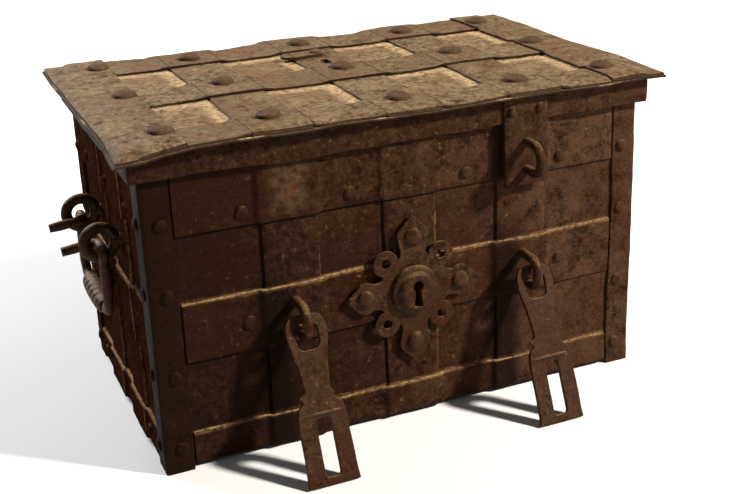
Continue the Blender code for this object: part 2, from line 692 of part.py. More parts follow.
def hasp_outline():
    """(across, down) points of the hasp from its bar, with the eye and the slot."""
    waist, shoulder = HASP_LENGTH - HASP_WAIST_UP, HASP_LENGTH - HASP_SHOULDER_UP
    head_bottom = HASP_BAR_RADIUS + HASP_EYE[1] + 0.008
    right = [
        (HASP_HEAD_WIDTH * 0.30, -HASP_BAR_RADIUS), (HASP_HEAD_WIDTH * 0.46, 0.004),
        (HASP_HEAD_WIDTH * 0.50, 0.015), (HASP_HEAD_WIDTH * 0.46, head_bottom * 0.72),
        (HASP_WAIST_WIDTH * 0.58, head_bottom * 1.15), (HASP_WAIST_WIDTH * 0.50, waist),
        (HASP_WAIST_WIDTH * 0.64, waist + 0.006), (HASP_WAIST_WIDTH * 0.54, waist + 0.011),
        (HASP_SHOULDER_WIDTH * 0.44, shoulder - 0.003), (HASP_SHOULDER_WIDTH * 0.50, shoulder),
        (HASP_TOE_WIDTH * 0.50, HASP_LENGTH),
    ]
    outside = right + [(-x, s) for x, s in reversed(right)]
    eye_x, eye_low = HASP_EYE[0] / 2, HASP_BAR_RADIUS + HASP_EYE[1]
    eye = [
        (eye_x - HASP_EYE_CHAMFER, HASP_BAR_RADIUS), (eye_x, HASP_BAR_RADIUS + HASP_EYE_CHAMFER),
        (eye_x, eye_low - HASP_EYE_CHAMFER), (eye_x - HASP_EYE_CHAMFER, eye_low),
    ]
    eye = eye + [(-x, s) for x, s in reversed(eye)]
    slot_x = HASP_SLOT_WIDTH / 2
    slot = [(-slot_x, HASP_SLOT[0]), (slot_x, HASP_SLOT[0]),
            (slot_x, HASP_SLOT[1]), (-slot_x, HASP_SLOT[1])]
    return [outside, eye, slot]


def make_hasps(bench):
    down = Vector((0, -math.sin(HASP_LEAN), -math.cos(HASP_LEAN)))
    outward = Vector((0, -math.cos(HASP_LEAN), math.sin(HASP_LEAN)))
    for hand, side in (("left", -1), ("right", 1)):
        x = side * UPRIGHT_PITCH
        staple = make_staple(
            f"hasp_staple_{hand}", bench.parts, x, WALL_FACE - GAP, BAND_CENTRE, HASP_STAPLE_REACH
        )
        bench.part(staple, FITTING_IRON, smooth=True)
        pivot = HASP_PIVOT + Vector((x, 0, 0))
        place = axes(pivot, (1, 0, 0), outward, down)
        hasp = bench.outline(f"hasp_{hand}", hasp_outline(), HASP_T, place, FITTING_IRON)
        carry(f"hasp_{hand}_axis", pivot, [hasp])


def make_tab(bench):
    x = UPRIGHT_PITCH
    under = -SKIRT_Y - GAP
    face = under - TAB_T
    tab = bench.box(
        "lid_tab", (x - TAB_WIDTH / 2, face, TAB_BOTTOM),
        (x + TAB_WIDTH / 2, under, SHEET_Z - GAP), BAND_IRON,
    )
    staple = make_staple(
        "lid_tab_staple", bench.tools, x, face + TAB_T / 2, TAB_STAPLE_LEVEL,
        TAB_STAPLE_REACH + TAB_T / 2,
    )
    return bench.boolean(tab, bench.hide(staple), "UNION")


# ---- the lid ----------------------------------------------------------------------------------
def make_lid_shell(bench):
    inner_x, inner_y = SKIRT_X - SKIRT_T, SKIRT_Y - SKIRT_T
    top = SHEET_Z - GAP
    pieces = [bench.box(
        "lid_sheet", (-SHEET_X, SHEET_FRONT, SHEET_Z), (SHEET_X, SHEET_BACK, LID_TOP), LID_IRON
    )]
    skirt = bench.box(
        "lid_skirt", (-SKIRT_X, -SKIRT_Y, SKIRT_BOTTOM), (SKIRT_X, SKIRT_Y, top), BAND_IRON
    )
    inside = bmesh.new()
    add_box(inside, (-inner_x, -inner_y, SKIRT_BOTTOM - SKIRT_T), (inner_x, inner_y, top + SKIRT_T))
    return pieces + [bench.cut(skirt, inside, "inside")]


def make_lid_lattice(bench):
    """Cross straps on the sheet, long bands over them, and end straps over the bands' ends."""
    pieces = []
    front, back = SHEET_FRONT + BAND_EDGE_SET, SHEET_BACK - BAND_EDGE_SET
    stations = [-LID_STRAP_PITCH, 0, LID_STRAP_PITCH]
    for station, label in zip(stations, ("left", "centre", "right")):
        pieces.append(bench.box(
            f"lid_strap_{label}",
            (station - LID_STRAP_WIDTH / 2, front, LID_TOP + GAP),
            (station + LID_STRAP_WIDTH / 2, back, LID_TOP + GAP + STRAP_T), LID_IRON,
        ))
    bands = (
        ("front", front, front + FRONT_LID_BAND_WIDTH),
        ("middle", *MIDDLE_LID_BAND),
        ("back", BACK_LID_BAND_FRONT, back),
    )
    band_end = SHEET_X - BAND_EDGE_SET - END_STRAP_WIDTH * (1 - END_STRAP_LAP)
    crossings = [(station, LID_STRAP_WIDTH) for station in stations]
    side_view = stepped_outline(-band_end, band_end, crossings)
    sizes = {"radius": LID_RIVET_RADIUS, "height": LID_RIVET_HEIGHT, "sides": 12}
    for (label, low, high), row in zip(bands, LID_RIVET_ROWS):
        place = axes((0, (low + high) / 2, LID_TOP + GAP), (1, 0, 0), (0, 1, 0), (0, 0, 1))
        band = bench.outline(f"lid_band_{label}", [side_view], high - low, place, LID_IRON)
        heads = [(station, row, LID_TOP + GAP + IRON_OUT + STRAP_T) for station in stations]
        pieces.append(bench.rivets(band, heads, (0, 0, 1), **sizes))
    crossings = [((low + high) / 2, high - low) for label, low, high in bands]
    side_view = stepped_outline(front, back, crossings)
    for hand, side in (("left", -1), ("right", 1)):
        centre = side * (SHEET_X - BAND_EDGE_SET - END_STRAP_WIDTH / 2)
        place = axes((centre, 0, LID_TOP + GAP), (0, 1, 0), (1, 0, 0), (0, 0, 1))
        strap = bench.outline(f"lid_end_strap_{hand}", [side_view], END_STRAP_WIDTH, place, LID_IRON)
        x = side * (SHEET_X - END_RIVET_SET)
        heads = [(x, row, LID_TOP + GAP + IRON_OUT + STRAP_T) for row in LID_RIVET_ROWS]
        pieces.append(bench.rivets(strap, heads, (0, 0, 1), **sizes))
    return pieces


def cut_key_way(bench, piece, low, high):
    """A round-ended slot for the key, down through one of the lid's pieces."""
    half_x, half_y = KEY_HOLE_SIZE[0] / 2, KEY_HOLE_SIZE[1] / 2
    hole = bmesh.new()
    near, far = LOCK_Y - half_y, LOCK_Y + half_y
    add_box(hole, (-half_x, near, low - PLATE_T), (half_x, far, high + PLATE_T))
    bench.cut(piece, hole, "key_way")


def make_cover(bench):
    """A small plate on a rivet that turns over the keyhole. It is stored turned aside."""
    seat = LID_TOP + 2 * GAP + STRAP_T
    pivot = Vector((0, LOCK_Y + COVER_PIVOT_Y, seat))
    leaf = COVER_PIVOT_Y + KEY_HOLE_SIZE[1] / 2
    outline = (
        arc((0, 0), COVER_HALF * 0.8, 90, -90, 6)
        + arc((-leaf + COVER_HALF, 0), COVER_HALF, -90, -270, 8)
    )
    place = Matrix.Translation(pivot + Vector((0, 0, COVER_T / 2)))
    cover = bench.outline("keyhole_cover", [outline], COVER_T, place, LID_IRON)
    bench.rivets(cover, [pivot + Vector((0, 0, COVER_T))], (0, 0, 1), radius=0.0075, height=0.0045)
    return cover, pivot


# ---- lid hinges -------------------------------------------------------------------------------
def make_body_leaf(bench, hand, x):
    """A strap down the back, under the bands, that bends out to its knuckles and holds the pin."""
    under, over = HALF_D + GAP, HALF_D + IRON_OUT
    side_view = [
        (under, 0), (over, 0), (over, LEAF_BEND),
        (HINGE_Y + KNUCKLE_RADIUS * 0.6, HINGE_LEVEL - KNUCKLE_RADIUS * 0.6),
        (HINGE_Y - KNUCKLE_RADIUS * 0.5, HINGE_LEVEL + KNUCKLE_RADIUS * 0.2),
        (under, LEAF_BEND + STRAP_T / 2),
    ]
    place = axes((x, 0, 0), (0, 1, 0), (1, 0, 0), (0, 0, 1))
    leaf = bench.outline(f"hinge_body_leaf_{hand}", [side_view], HINGE_LEAF_WIDTH, place, BAND_IRON)
    heads = [(x + offset, over, level)
             for offset in (-RIVET_SPREAD, RIVET_SPREAD) for level in LEAF_RIVET_LEVELS]
    bench.rivets(leaf, heads, (0, 1, 0))
    half = HINGE_LEAF_WIDTH / 2
    ring = bmesh.new()
    ends = (x - half, HINGE_Y, HINGE_LEVEL), (x + half, HINGE_Y, HINGE_LEVEL)
    add_rod(ring, *ends, KNUCKLE_RADIUS, 16)
    bench.union(leaf, ring, "knuckle")
    notch = bmesh.new()
    reach = KNUCKLE_RADIUS + RUNNING_GAP
    half_notch = HINGE_LEAF_WIDTH / 6 + RUNNING_GAP / 2
    add_box(
        notch, (x - half_notch, HINGE_Y - 2 * reach, HINGE_LEVEL - 1.3 * reach),
        (x + half_notch, HINGE_Y + 2 * reach, HINGE_LEVEL + 2 * reach),
    )
    bench.cut(leaf, notch, "notch")
    pin = bmesh.new()
    reach = half + HINGE_PIN_PROUD
    ends = (x - reach, HINGE_Y, HINGE_LEVEL), (x + reach, HINGE_Y, HINGE_LEVEL)
    add_rod(pin, *ends, HINGE_PIN_RADIUS)
    return bench.union(leaf, pin, "pin")


def make_lid_leaf(bench, hand, x):
    """A plate on the back of the skirt, whose middle knuckle turns on the pin."""
    under = SKIRT_Y + GAP
    over = under + STRAP_T
    half, third = HINGE_LEAF_WIDTH / 2, HINGE_LEAF_WIDTH / 3
    leaf = bench.box(
        f"hinge_lid_leaf_{hand}", (x - half, under, HINGE_LEVEL + KNUCKLE_RADIUS + RUNNING_GAP),
        (x + half, over, LID_LEAF_TOP), BAND_IRON,
    )
    tongue = bmesh.new()
    add_box(
        tongue, (x - third / 2, under, HINGE_LEVEL), (x + third / 2, over, LID_LEAF_TOP - STRAP_T)
    )
    bench.union(leaf, tongue, "tongue")
    ring = bmesh.new()
    ends = (x - third / 2, HINGE_Y, HINGE_LEVEL), (x + third / 2, HINGE_Y, HINGE_LEVEL)
    add_rod(ring, *ends, KNUCKLE_RADIUS, 16)
    bench.union(leaf, ring, "knuckle")
    bore = bmesh.new()
    ends = (x - third, HINGE_Y, HINGE_LEVEL), (x + third, HINGE_Y, HINGE_LEVEL)
    add_rod(bore, *ends, HINGE_PIN_RADIUS + HINGE_PIN_PLAY)
    bench.cut(leaf, bore, "bore")
    heads = [(x + offset, over, (HINGE_LEVEL + LID_LEAF_TOP) / 2 + KNUCKLE_RADIUS)
             for offset in (-RIVET_SPREAD, RIVET_SPREAD)]
    return bench.rivets(leaf, heads, (0, 1, 0), radius=0.006)


def make_hinges(bench):
    lid_leaves = []
    for hand, side in (("left", -1), ("right", 1)):
        make_body_leaf(bench, hand, side * UPRIGHT_PITCH)
        lid_leaves.append(make_lid_leaf(bench, hand, side * UPRIGHT_PITCH))
    return lid_leaves


# ---- the lock under the lid -------------------------------------------------------------------
def slot_box(bm, centre, half_x, half_y):
    add_box(
        bm, (centre[0] - half_x, centre[1] - half_y, BOLT_BOTTOM - BOLT_T),
        (centre[0] + half_x, centre[1] + half_y, BOLT_TOP + BOLT_T),
    )


def pin_places():
    """Driving pins at rest: each sits half a swing behind the middle of its stroke."""
    back = math.radians(LOCK_SWING_DEG / 2)
    return {
        name: LOCK_CENTRE + PIN_CIRCLE * Vector((math.cos(middle - back), math.sin(middle - back), 0))
        for name, middle in (("left", math.pi / 2), ("right", -math.pi / 2), ("front", math.pi))
    }


def make_guide(bm, low, high):
    """A bridge under a bolt, hung from the lock plate: the bolt's slide is a cut through it."""
    add_box(bm, (low[0], low[1], BOLT_BOTTOM - RUNNING_GAP - GUIDE_T),
            (high[0], high[1], LOCK_PLATE_Z + LOCK_PLATE_T / 2))


def make_lock(bench):
    plate_x, plate_y = RIM_X - LOCK_PLATE_CLEAR, RIM_Y - LOCK_PLATE_CLEAR
    plate = bench.box(
        "lock_plate", (-plate_x, -plate_y, LOCK_PLATE_Z),
        (plate_x, plate_y, LOCK_PLATE_Z + LOCK_PLATE_T), LOCK_IRON,
    )
    pins = pin_places()
    half_bolt = BOLT_WIDTH / 2
    play = RUNNING_GAP / 2
    clear = PIN_RADIUS + PIN_PLAY
    cheek = half_bolt + GUIDE_CHEEK
    pieces = {}

    guides, slides = bmesh.new(), bmesh.new()
    for name, side in (("left", -1), ("right", 1)):
        y = LOCK_Y - side * PIN_CIRCLE
        tail = pins[name].x - side * TAIL
        ends = sorted((tail, side * BOLT_TIP_X))
        bolt = bench.box(
            f"bolt_{name}", (ends[0], y - half_bolt, BOLT_BOTTOM),
            (ends[1], y + half_bolt, BOLT_TOP), LOCK_IRON,
        )
        slot = bmesh.new()
        slot_box(slot, (pins[name].x, y), clear, half_bolt * SLOT_SHARE)
        bench.cut(bolt, slot, "pin_slot")
        pieces[name] = bolt
        x = side * (plate_x - GUIDE_SET)
        make_guide(guides, (x - GUIDE_HALF, y - cheek), (x + GUIDE_HALF, y + cheek))
        add_box(
            slides, (x - 2 * GUIDE_HALF, y - half_bolt - play, BOLT_BOTTOM - RUNNING_GAP),
            (x + 2 * GUIDE_HALF, y + half_bolt + play, BOLT_TOP + play),
        )

    cross_low = -plate_y + CROSS_BAR_SET
    cross_high = cross_low + BOLT_WIDTH
    head_x = FRONT_HEADS_SHARE * plate_x
    shank_x = -PIN_CIRCLE
    tail = pins["front"].y + TAIL
    outline = [
        (shank_x - half_bolt, tail), (shank_x - half_bolt, cross_high),
        (-head_x - half_bolt, cross_high), (-head_x - half_bolt, -BOLT_TIP_Y),
        (-head_x + half_bolt, -BOLT_TIP_Y), (-head_x + half_bolt, cross_low),
        (head_x - half_bolt, cross_low), (head_x - half_bolt, -BOLT_TIP_Y),
        (head_x + half_bolt, -BOLT_TIP_Y), (head_x + half_bolt, cross_high),
        (shank_x + half_bolt, cross_high), (shank_x + half_bolt, tail),
    ]
    place = Matrix.Translation((0, 0, (BOLT_TOP + BOLT_BOTTOM) / 2))
    bolt = bench.outline("bolt_front", [outline], BOLT_T, place, LOCK_IRON)
    slot = bmesh.new()
    slot_box(slot, (shank_x, pins["front"].y), half_bolt * SLOT_SHARE, clear)
    bench.cut(bolt, slot, "pin_slot")
    pieces["front"] = bolt
    for side in (-1, 1):
        x = side * head_x
        y = -plate_y + GUIDE_SET
        make_guide(guides, (x - cheek, y - GUIDE_HALF), (x + cheek, y + GUIDE_HALF))
        add_box(
            slides, (x - half_bolt - play, y - 2 * GUIDE_HALF, BOLT_BOTTOM - RUNNING_GAP),
            (x + half_bolt + play, y + 2 * GUIDE_HALF, BOLT_TOP + play),
        )
    bench.union(plate, guides, "guides")
    bench.cut(plate, slides, "slides")
    cut_key_way(bench, plate, LOCK_PLATE_Z, LOCK_PLATE_Z + LOCK_PLATE_T)

    driver_top = BOLT_BOTTOM - RUNNING_GAP
    bm = bmesh.new()
    add_rod(bm, LOCK_CENTRE + Vector((0, 0, driver_top - DRIVER_T)),
            LOCK_CENTRE + Vector((0, 0, driver_top)), PIN_CIRCLE + DRIVER_MARGIN, 24)
    driver = bench.part(object_from(bm, "lock_driver", bench.parts), LOCK_IRON, smooth=True)
    posts = bmesh.new()
    for pin in pins.values():
        foot = Vector((pin.x, pin.y, driver_top - DRIVER_T / 2))
        add_rod(posts, foot, foot + Vector((0, 0, BOLT_T * 0.8 + DRIVER_T / 2)), PIN_RADIUS, 10)
    bench.union(driver, posts, "pins")
    socket = bmesh.new()
    half = KEY_HOLE_SIZE[0] / 2
    add_box(socket, (-half, LOCK_Y - half, driver_top - 2 * DRIVER_T),
            (half, LOCK_Y + half, driver_top + DRIVER_T))
    bench.cut(driver, socket, "key_socket")
    pieces["driver"] = driver
    return plate, pieces


# ---- carrying handles -------------------------------------------------------------------------
def make_handles(bench):
    face = HALF_W + IRON_OUT + GAP
    eye_out = face + EYE_RADIUS + EYE_ROD + GAP
    sag = EYE_RADIUS - EYE_ROD - HANDLE_ROD - ROD_PLAY
    pivot_z = EYE_LEVEL - sag
    half = SIDE_UPRIGHT_PITCH / 2
    arm_y = half + EYE_ROD + 2 * ROD_PLAY + HANDLE_ROD
    stub_y = half - EYE_ROD - 2 * ROD_PLAY - HANDLE_ROD
    for hand, side in (("left", -1), ("right", 1)):
        for label, offset in (("front", -half), ("rear", half)):
            y = SIDE_UPRIGHT_SHIFT + offset
            bpy.ops.mesh.primitive_torus_add(
                major_radius=EYE_RADIUS, minor_radius=EYE_ROD, major_segments=20,
                minor_segments=8,
            )
            ring = bpy.context.object
            bm = bmesh.new()
            bm.from_mesh(ring.data)
            bpy.data.objects.remove(ring, do_unlink=True)
            bmesh.ops.transform(
                bm, verts=bm.verts, matrix=facing((side * eye_out, y, EYE_LEVEL), (0, 1, 0))
            )
            name = f"handle_eye_{hand}_{label}"
            eye = bench.part(object_from(bm, name, bench.parts), FITTING_IRON, smooth=True)
            foot = bmesh.new()
            add_box(
                foot, sorted_corner(side * face, side * (face + EYE_ROD * 1.4), y, EYE_LEVEL, -1),
                sorted_corner(side * face, side * (face + EYE_ROD * 1.4), y, EYE_LEVEL, 1),
            )
            bench.union(eye, foot, "foot")

        x = side * eye_out
        half_path = [
            (STUB_LENGTH, stub_y, -STUB_DIP), (0, stub_y, 0), (0, arm_y, 0),
            (0, arm_y, -HANDLE_DROP), (0, 0, -HANDLE_DROP),
        ]
        turns = (HANDLE_ROD * 1.4, HANDLE_ROD * 1.4, 0.014)
        rod = rounded_path(half_path, turns)
        rod = rod[:-1] + [Vector((p.x, -p.y, p.z)) for p in reversed(rod)][1:]
        middle = Vector((x, SIDE_UPRIGHT_SHIFT, pivot_z))
        path = [middle + Vector((p.x * side, p.y, p.z)) for p in rod]
        handle = curve_mesh(f"handle_{hand}", [path], bench.parts, rod_radius=HANDLE_ROD)
        handle = bench.part(handle, FITTING_IRON, smooth=True)
        grip = bmesh.new()
        profile = [(-0.5, 0.62), (-0.38, 0.95), (-0.13, 1.0), (0.13, 1.0), (0.38, 0.95), (0.5, 0.62)]
        rings = [
            [grip.verts.new(middle + Vector((
                GRIP_RADIUS * share * math.cos(turn), GRIP_LENGTH * run,
                GRIP_RADIUS * share * math.sin(turn) - HANDLE_DROP)))
             for turn in (2 * math.pi * (step + 0.5) / 12 for step in range(12))]
            for run, share in profile
        ]
        add_rings(grip, rings)
        bench.union(handle, grip, "grip")
        carry(f"handle_{hand}_axis", middle, [handle])


def sorted_corner(x_a, x_b, y, z, end):
    """One corner of the small foot that carries an eye: end is -1 for the low one."""
    x = min(x_a, x_b) if end < 0 else max(x_a, x_b)
    return (x, y + end * EYE_ROD * 0.9, z + end * EYE_ROD * 1.5)


# ---- everything -------------------------------------------------------------------------------
def main():
    clear_scene()
    bench = Bench()
    make_plates(bench)
    make_corner_irons(bench)
    make_lattice(bench)
    make_escutcheon(bench)
    make_hasps(bench)
    make_handles(bench)

    lid = make_lid_shell(bench)
    sheet = lid[0]
    straps = make_lid_lattice(bench)
    centre_strap = straps[1]
    cut_key_way(bench, sheet, SHEET_Z, LID_TOP)
    cut_key_way(bench, centre_strap, LID_TOP, LID_STRAP_TOP)
    lid += straps + [make_tab(bench)] + make_hinges(bench)
    lock_plate, works = make_lock(bench)
    lid.append(lock_plate)
    lid_axis = carry("lid_axis", (0, HINGE_Y, HINGE_LEVEL), lid)

    cover, cover_pivot = make_cover(bench)
    carry("keyhole_cover_axis", cover_pivot, [cover], parent=lid_axis)
    carry("lock_axis", LOCK_CENTRE + Vector((0, 0, BOLT_BOTTOM)), [works["driver"]], parent=lid_axis)
    for name in ("left", "right", "front"):
        bolt = works[name]
        carry(bolt.name + "_slide", (0, LOCK_Y, BOLT_BOTTOM), [bolt], parent=lid_axis)


main()
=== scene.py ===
# %% [markdown]
# # An iron-bound donation box
# The box is a small strongbox: plates held by corner irons and a lattice of riveted straps, a lid with a
# lock of its own, two hasps that stand forward, a false lock plate and a carrying handle on each end.
# The frame already has every piece at its true size and on its joint. This lesson makes what the eye sees.
# %% Load the frame
import json
import math

import bmesh
import bpy
import numpy as np
from mathutils import Matrix, Vector

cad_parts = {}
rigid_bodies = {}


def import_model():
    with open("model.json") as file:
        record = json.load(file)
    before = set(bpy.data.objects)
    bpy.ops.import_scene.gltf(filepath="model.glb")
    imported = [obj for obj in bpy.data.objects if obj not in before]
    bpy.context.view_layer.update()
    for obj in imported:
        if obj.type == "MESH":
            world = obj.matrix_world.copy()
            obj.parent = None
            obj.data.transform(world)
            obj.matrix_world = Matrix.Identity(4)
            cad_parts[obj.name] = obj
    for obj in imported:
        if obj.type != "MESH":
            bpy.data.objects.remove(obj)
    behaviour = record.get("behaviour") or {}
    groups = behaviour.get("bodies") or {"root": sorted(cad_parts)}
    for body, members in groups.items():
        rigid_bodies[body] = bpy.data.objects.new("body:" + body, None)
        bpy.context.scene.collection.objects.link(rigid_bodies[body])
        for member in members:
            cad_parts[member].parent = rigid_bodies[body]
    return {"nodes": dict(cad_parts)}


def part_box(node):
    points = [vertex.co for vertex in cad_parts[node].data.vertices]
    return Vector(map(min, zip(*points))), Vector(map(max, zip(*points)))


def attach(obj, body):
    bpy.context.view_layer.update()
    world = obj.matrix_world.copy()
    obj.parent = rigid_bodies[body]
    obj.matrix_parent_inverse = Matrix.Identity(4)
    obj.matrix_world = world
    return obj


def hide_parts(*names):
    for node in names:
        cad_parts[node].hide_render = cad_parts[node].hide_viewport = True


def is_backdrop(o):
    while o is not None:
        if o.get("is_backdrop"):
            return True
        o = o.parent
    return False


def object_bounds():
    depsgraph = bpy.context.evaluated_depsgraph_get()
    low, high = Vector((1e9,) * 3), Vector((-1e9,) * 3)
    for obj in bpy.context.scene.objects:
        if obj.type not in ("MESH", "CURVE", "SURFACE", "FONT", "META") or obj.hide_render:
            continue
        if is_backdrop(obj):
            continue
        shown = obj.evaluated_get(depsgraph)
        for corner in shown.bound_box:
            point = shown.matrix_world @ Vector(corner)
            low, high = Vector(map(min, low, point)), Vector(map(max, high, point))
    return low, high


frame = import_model()
cad_low, cad_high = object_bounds()

# %% [markdown]
# ## Measures
# Places could be typed in as numbers, but then a piece would drift from its solid when a size changes. They
# are read from the frame instead. Only what a box can't tell, such as the thickness of the smith's stock, is
# named here.
# %% Stock sizes
STRAP_T = 0.003         # straps, bands, corner irons and the lid's sheet
GAP = 0.0003            # between two pieces that lie on each other
RIVET = (0.0075, 0.004)         # radius and height of a head on the walls
LID_RIVET = (0.0132, 0.0054)
WALL_STEP = 0.0075      # spacing of points on a plate
STRAP_STEP = 0.0055


def span(node):
    """Lowest and highest corner of a node, as arrays."""
    low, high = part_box(node)
    return np.array(low), np.array(high)


floor_level = cad_low.z
front_face = span("front_plate")[0][1]
left_face = span("left_plate")[0][0]
wall_top = span("front_plate")[1][2]
print(f"floor at {1000 * floor_level:.1f} mm, walls up to {1000 * wall_top:.1f} mm")

# %% [markdown]
# ## Unevenness
# Hammered iron is never flat and a smith's edges are never straight. They could be sculpted, which no script
# can repeat. Waves in random directions, added up, give a smooth wobble that is the same on each run. One
# slow wobble moves all fixed pieces together, so that straps stay on their plates. A faster one, with a seed
# for each piece, makes hammer marks and ragged edges.
# %% Ripples
def smooth(share):
    share = np.clip(share, 0, 1)
    return share * share * (3 - 2 * share)


class Ripples:
    """A smooth wobble in space, mostly between -1 and 1."""

    def __init__(self, seed, length, waves=14):
        rng = np.random.default_rng(seed)
        aim = rng.normal(size=(waves, 3))
        aim /= np.linalg.norm(aim, axis=1)[:, None]
        self.waves = aim * rng.uniform(0.6, 1.5, (waves, 1)) * 2 * math.pi / length
        self.start = rng.uniform(0, 2 * math.pi, waves)
        self.size = 0.5 / math.sqrt(waves / 2)

    def __call__(self, places):
        return np.sin(np.asarray(places) @ self.waves.T + self.start).sum(axis=-1) * self.size


SWAY = 0.0010           # how far the whole box is out of true
sways = [Ripples(seed, 0.19) for seed in (11, 12, 13)]


def settle(places):
    """The fixed pieces' shared wobble. It fades out at the floor, where the feet stand."""
    moved = places.copy()
    lift = smooth((places[:, 2] - floor_level) / 0.04)
    for axis, ripple in enumerate(sways):
        moved[:, axis] += SWAY * ripple(places) * lift
    return moved


print(f"the box is up to {1000 * SWAY * 1.5:.1f} mm out of true")

# %% [markdown]
# ## Making a mesh
# Nearly every piece here is a bar: a section carried along a path. A curve with a bevel could do that, but
# its points couldn't be dented one by one. So a list of rings, one section each, is skinned with quads and
# capped. Several bodies, such as a strap and its rivets, may share one mesh.
# %% Work in hand
class Work:
    """The points and faces of one piece while it is made."""

    def __init__(self):
        self.points, self.faces, self.marks, self.count = [], [], [], 0

    def add(self, points, faces, mark=0.0):
        """Adds a body. mark is kept on its points, for the finish: 1 on a rivet's head."""
        self.points.append(np.asarray(points, float).reshape(-1, 3))
        self.marks += [mark] * len(self.points[-1])
        self.faces += [[index + self.count for index in face] for face in faces]
        self.count += len(self.points[-1])

    def skin(self, rings, closed=False, mark=0.0):
        """Quads between rings of the same length. Open work gets a cap at each end."""
        rings = np.asarray(rings, float)
        number, size = rings.shape[:2]
        faces = []
        for ring in range(number if closed else number - 1):
            here, there = ring * size, (ring + 1) % number * size
            faces += [
                (here + k, here + (k + 1) % size, there + (k + 1) % size, there + k)
                for k in range(size)
            ]
        if not closed:
            faces += [range(size - 1, -1, -1), range((number - 1) * size, number * size)]
        self.add(rings, faces, mark)

    def all_points(self):
        return np.concatenate(self.points)


print("ready to gather points and faces")


# %% Turn work into a piece
def piece_from(name, work, body, finish, stands_for=(), shape=None, sharp=38):
    """A finished piece: shaped, smoothed, dressed, and riding on its body."""
    points = work.all_points()
    if shape is not None:
        points = shape(points)
    mesh = bpy.data.meshes.new(name)
    mesh.from_pydata(points.tolist(), [], work.faces)
    bm = bmesh.new()
    bm.from_mesh(mesh)
    bmesh.ops.recalc_face_normals(bm, faces=bm.faces)
    bm.to_mesh(mesh)
    bm.free()
    rng = np.random.default_rng(sum(ord(letter) * (place + 1) for place, letter in enumerate(name)))
    shift = mesh.attributes.new("shift", "FLOAT_VECTOR", "POINT")
    shift.data.foreach_set("vector", np.tile(rng.uniform(-5, 5, 3), len(points)))
    head = mesh.attributes.new("head", "FLOAT", "POINT")
    head.data.foreach_set("value", work.marks)
    piece = bpy.data.objects.new(name, mesh)
    bpy.context.scene.collection.objects.link(piece)
    return dress(piece, body, finish, stands_for, sharp)


def dress(piece, body, finish, stands_for=(), sharp=38):
    mesh = piece.data
    mesh.shade_smooth()
    mesh.set_sharp_from_angle(angle=math.radians(sharp))
    mesh.materials.clear()
    mesh.materials.append(finish)
    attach(piece, body)
    if stands_for:
        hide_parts(*stands_for)
    return piece


print("bench ready")

# %% [markdown]
# ## Bars and straps
# A strap could be a stretched cube with a bevel, and would look machined. Here its section has worn edges and
# a row of points over its face, so that hammer marks have something to move. Where a strap crosses another
# it climbs over it on a short soft ramp, as hot iron does under a hammer.
# %% Section of a bar
WORN = 0.0009           # how far an edge is worn round


def bar_section(width, thickness, step=STRAP_STEP, two_faced=False):
    """(across, out) points round a flat bar, from the back to the face."""
    half = width / 2
    count = max(2, round((width - 2 * WORN) / step))
    face = [(across, thickness) for across in np.linspace(half - WORN, WORN - half, count + 1)]
    if two_faced:
        back = [(-across, 0) for across, out in face]
        back = [(-half, WORN * 0.8)] + back + [(half, WORN * 0.8)]
    else:
        back = [(-half, 0), (half, 0)]
    return np.array(back + [(half, thickness - WORN * 0.8)] + face + [(-half, thickness - WORN * 0.8)])


print(f"{len(bar_section(0.040, STRAP_T))} points round a 40 mm strap")


# %% Stations along a strap
RAMP = 0.0075           # length of the climb on to a strap beneath


def stations(start, end, step=STRAP_STEP, crossings=(), ramp=RAMP):
    """Where the rings of a strap go: evenly, and closer on each climb."""
    marks = list(np.linspace(start, end, max(2, round((end - start) / step)) + 1))
    for centre, width in crossings:
        for side in (-1, 1):
            marks += [centre + side * (width / 2 + extra) for extra in np.linspace(0, ramp, 6)]
    marks = sorted(mark for mark in marks if start <= mark <= end)
    kept = [start]
    for mark in marks:
        if mark - kept[-1] > 0.0007:
            kept.append(mark)
    kept[-1] = end
    return np.array(kept)


def climb(places, crossings, rise, ramp=RAMP):
    """Height of a strap along its run, over the straps beneath it."""
    height = np.zeros_like(places)
    for centre, width in crossings:
        outside = np.abs(places - centre) - width / 2 - GAP
        height = np.maximum(height, rise * smooth(1 - outside / ramp))
    return height


print(f"{len(stations(0, 0.6))} rings along 600 mm of strap")


# %% Forge a strap
RAGGED = 0.0006         # how far an edge wanders in
HAMMERED = 0.00022      # depth of the hammer marks


def forge_strap(work, middle, run, across, outward, ends, width, thickness=STRAP_T, crossings=(),
                rise=STRAP_T + GAP, seed=1, step=STRAP_STEP, two_faced=False, ragged=RAGGED, cover=None,
                ramp=RAMP):
    """A flat bar along run, from ends[0] to ends[1] measured from its middle. cover says which part of its
    width is lifted where it crosses another."""
    run, across, outward = (np.array(axis, float) for axis in (run, across, outward))
    along = stations(*ends, step, crossings, ramp)
    section = bar_section(width, thickness, step, two_faced)
    edge, marks = Ripples(seed, 0.045), Ripples(seed + 500, 0.026)
    side = np.sign(section[:, 0])[None, :, None] * across * width / 2
    spots = middle + along[:, None, None] * run + side
    inward = ragged * (1 + edge(spots)) * np.abs(section[:, 0]) / (width / 2)
    sideways = section[:, 0] - np.sign(section[:, 0]) * inward
    lifted = 1 if cover is None else cover(section[:, 0])
    out = section[:, 1] + climb(along, crossings, rise, ramp)[:, None] * lifted
    rings = (
        middle + along[:, None, None] * run + sideways[..., None] * across + out[..., None] * outward
    )
    face = section[:, 1] > thickness * 0.9
    rings[:, face] -= (HAMMERED * (1 + marks(rings[:, face])))[..., None] * outward
    work.skin(rings)


print("forge ready")

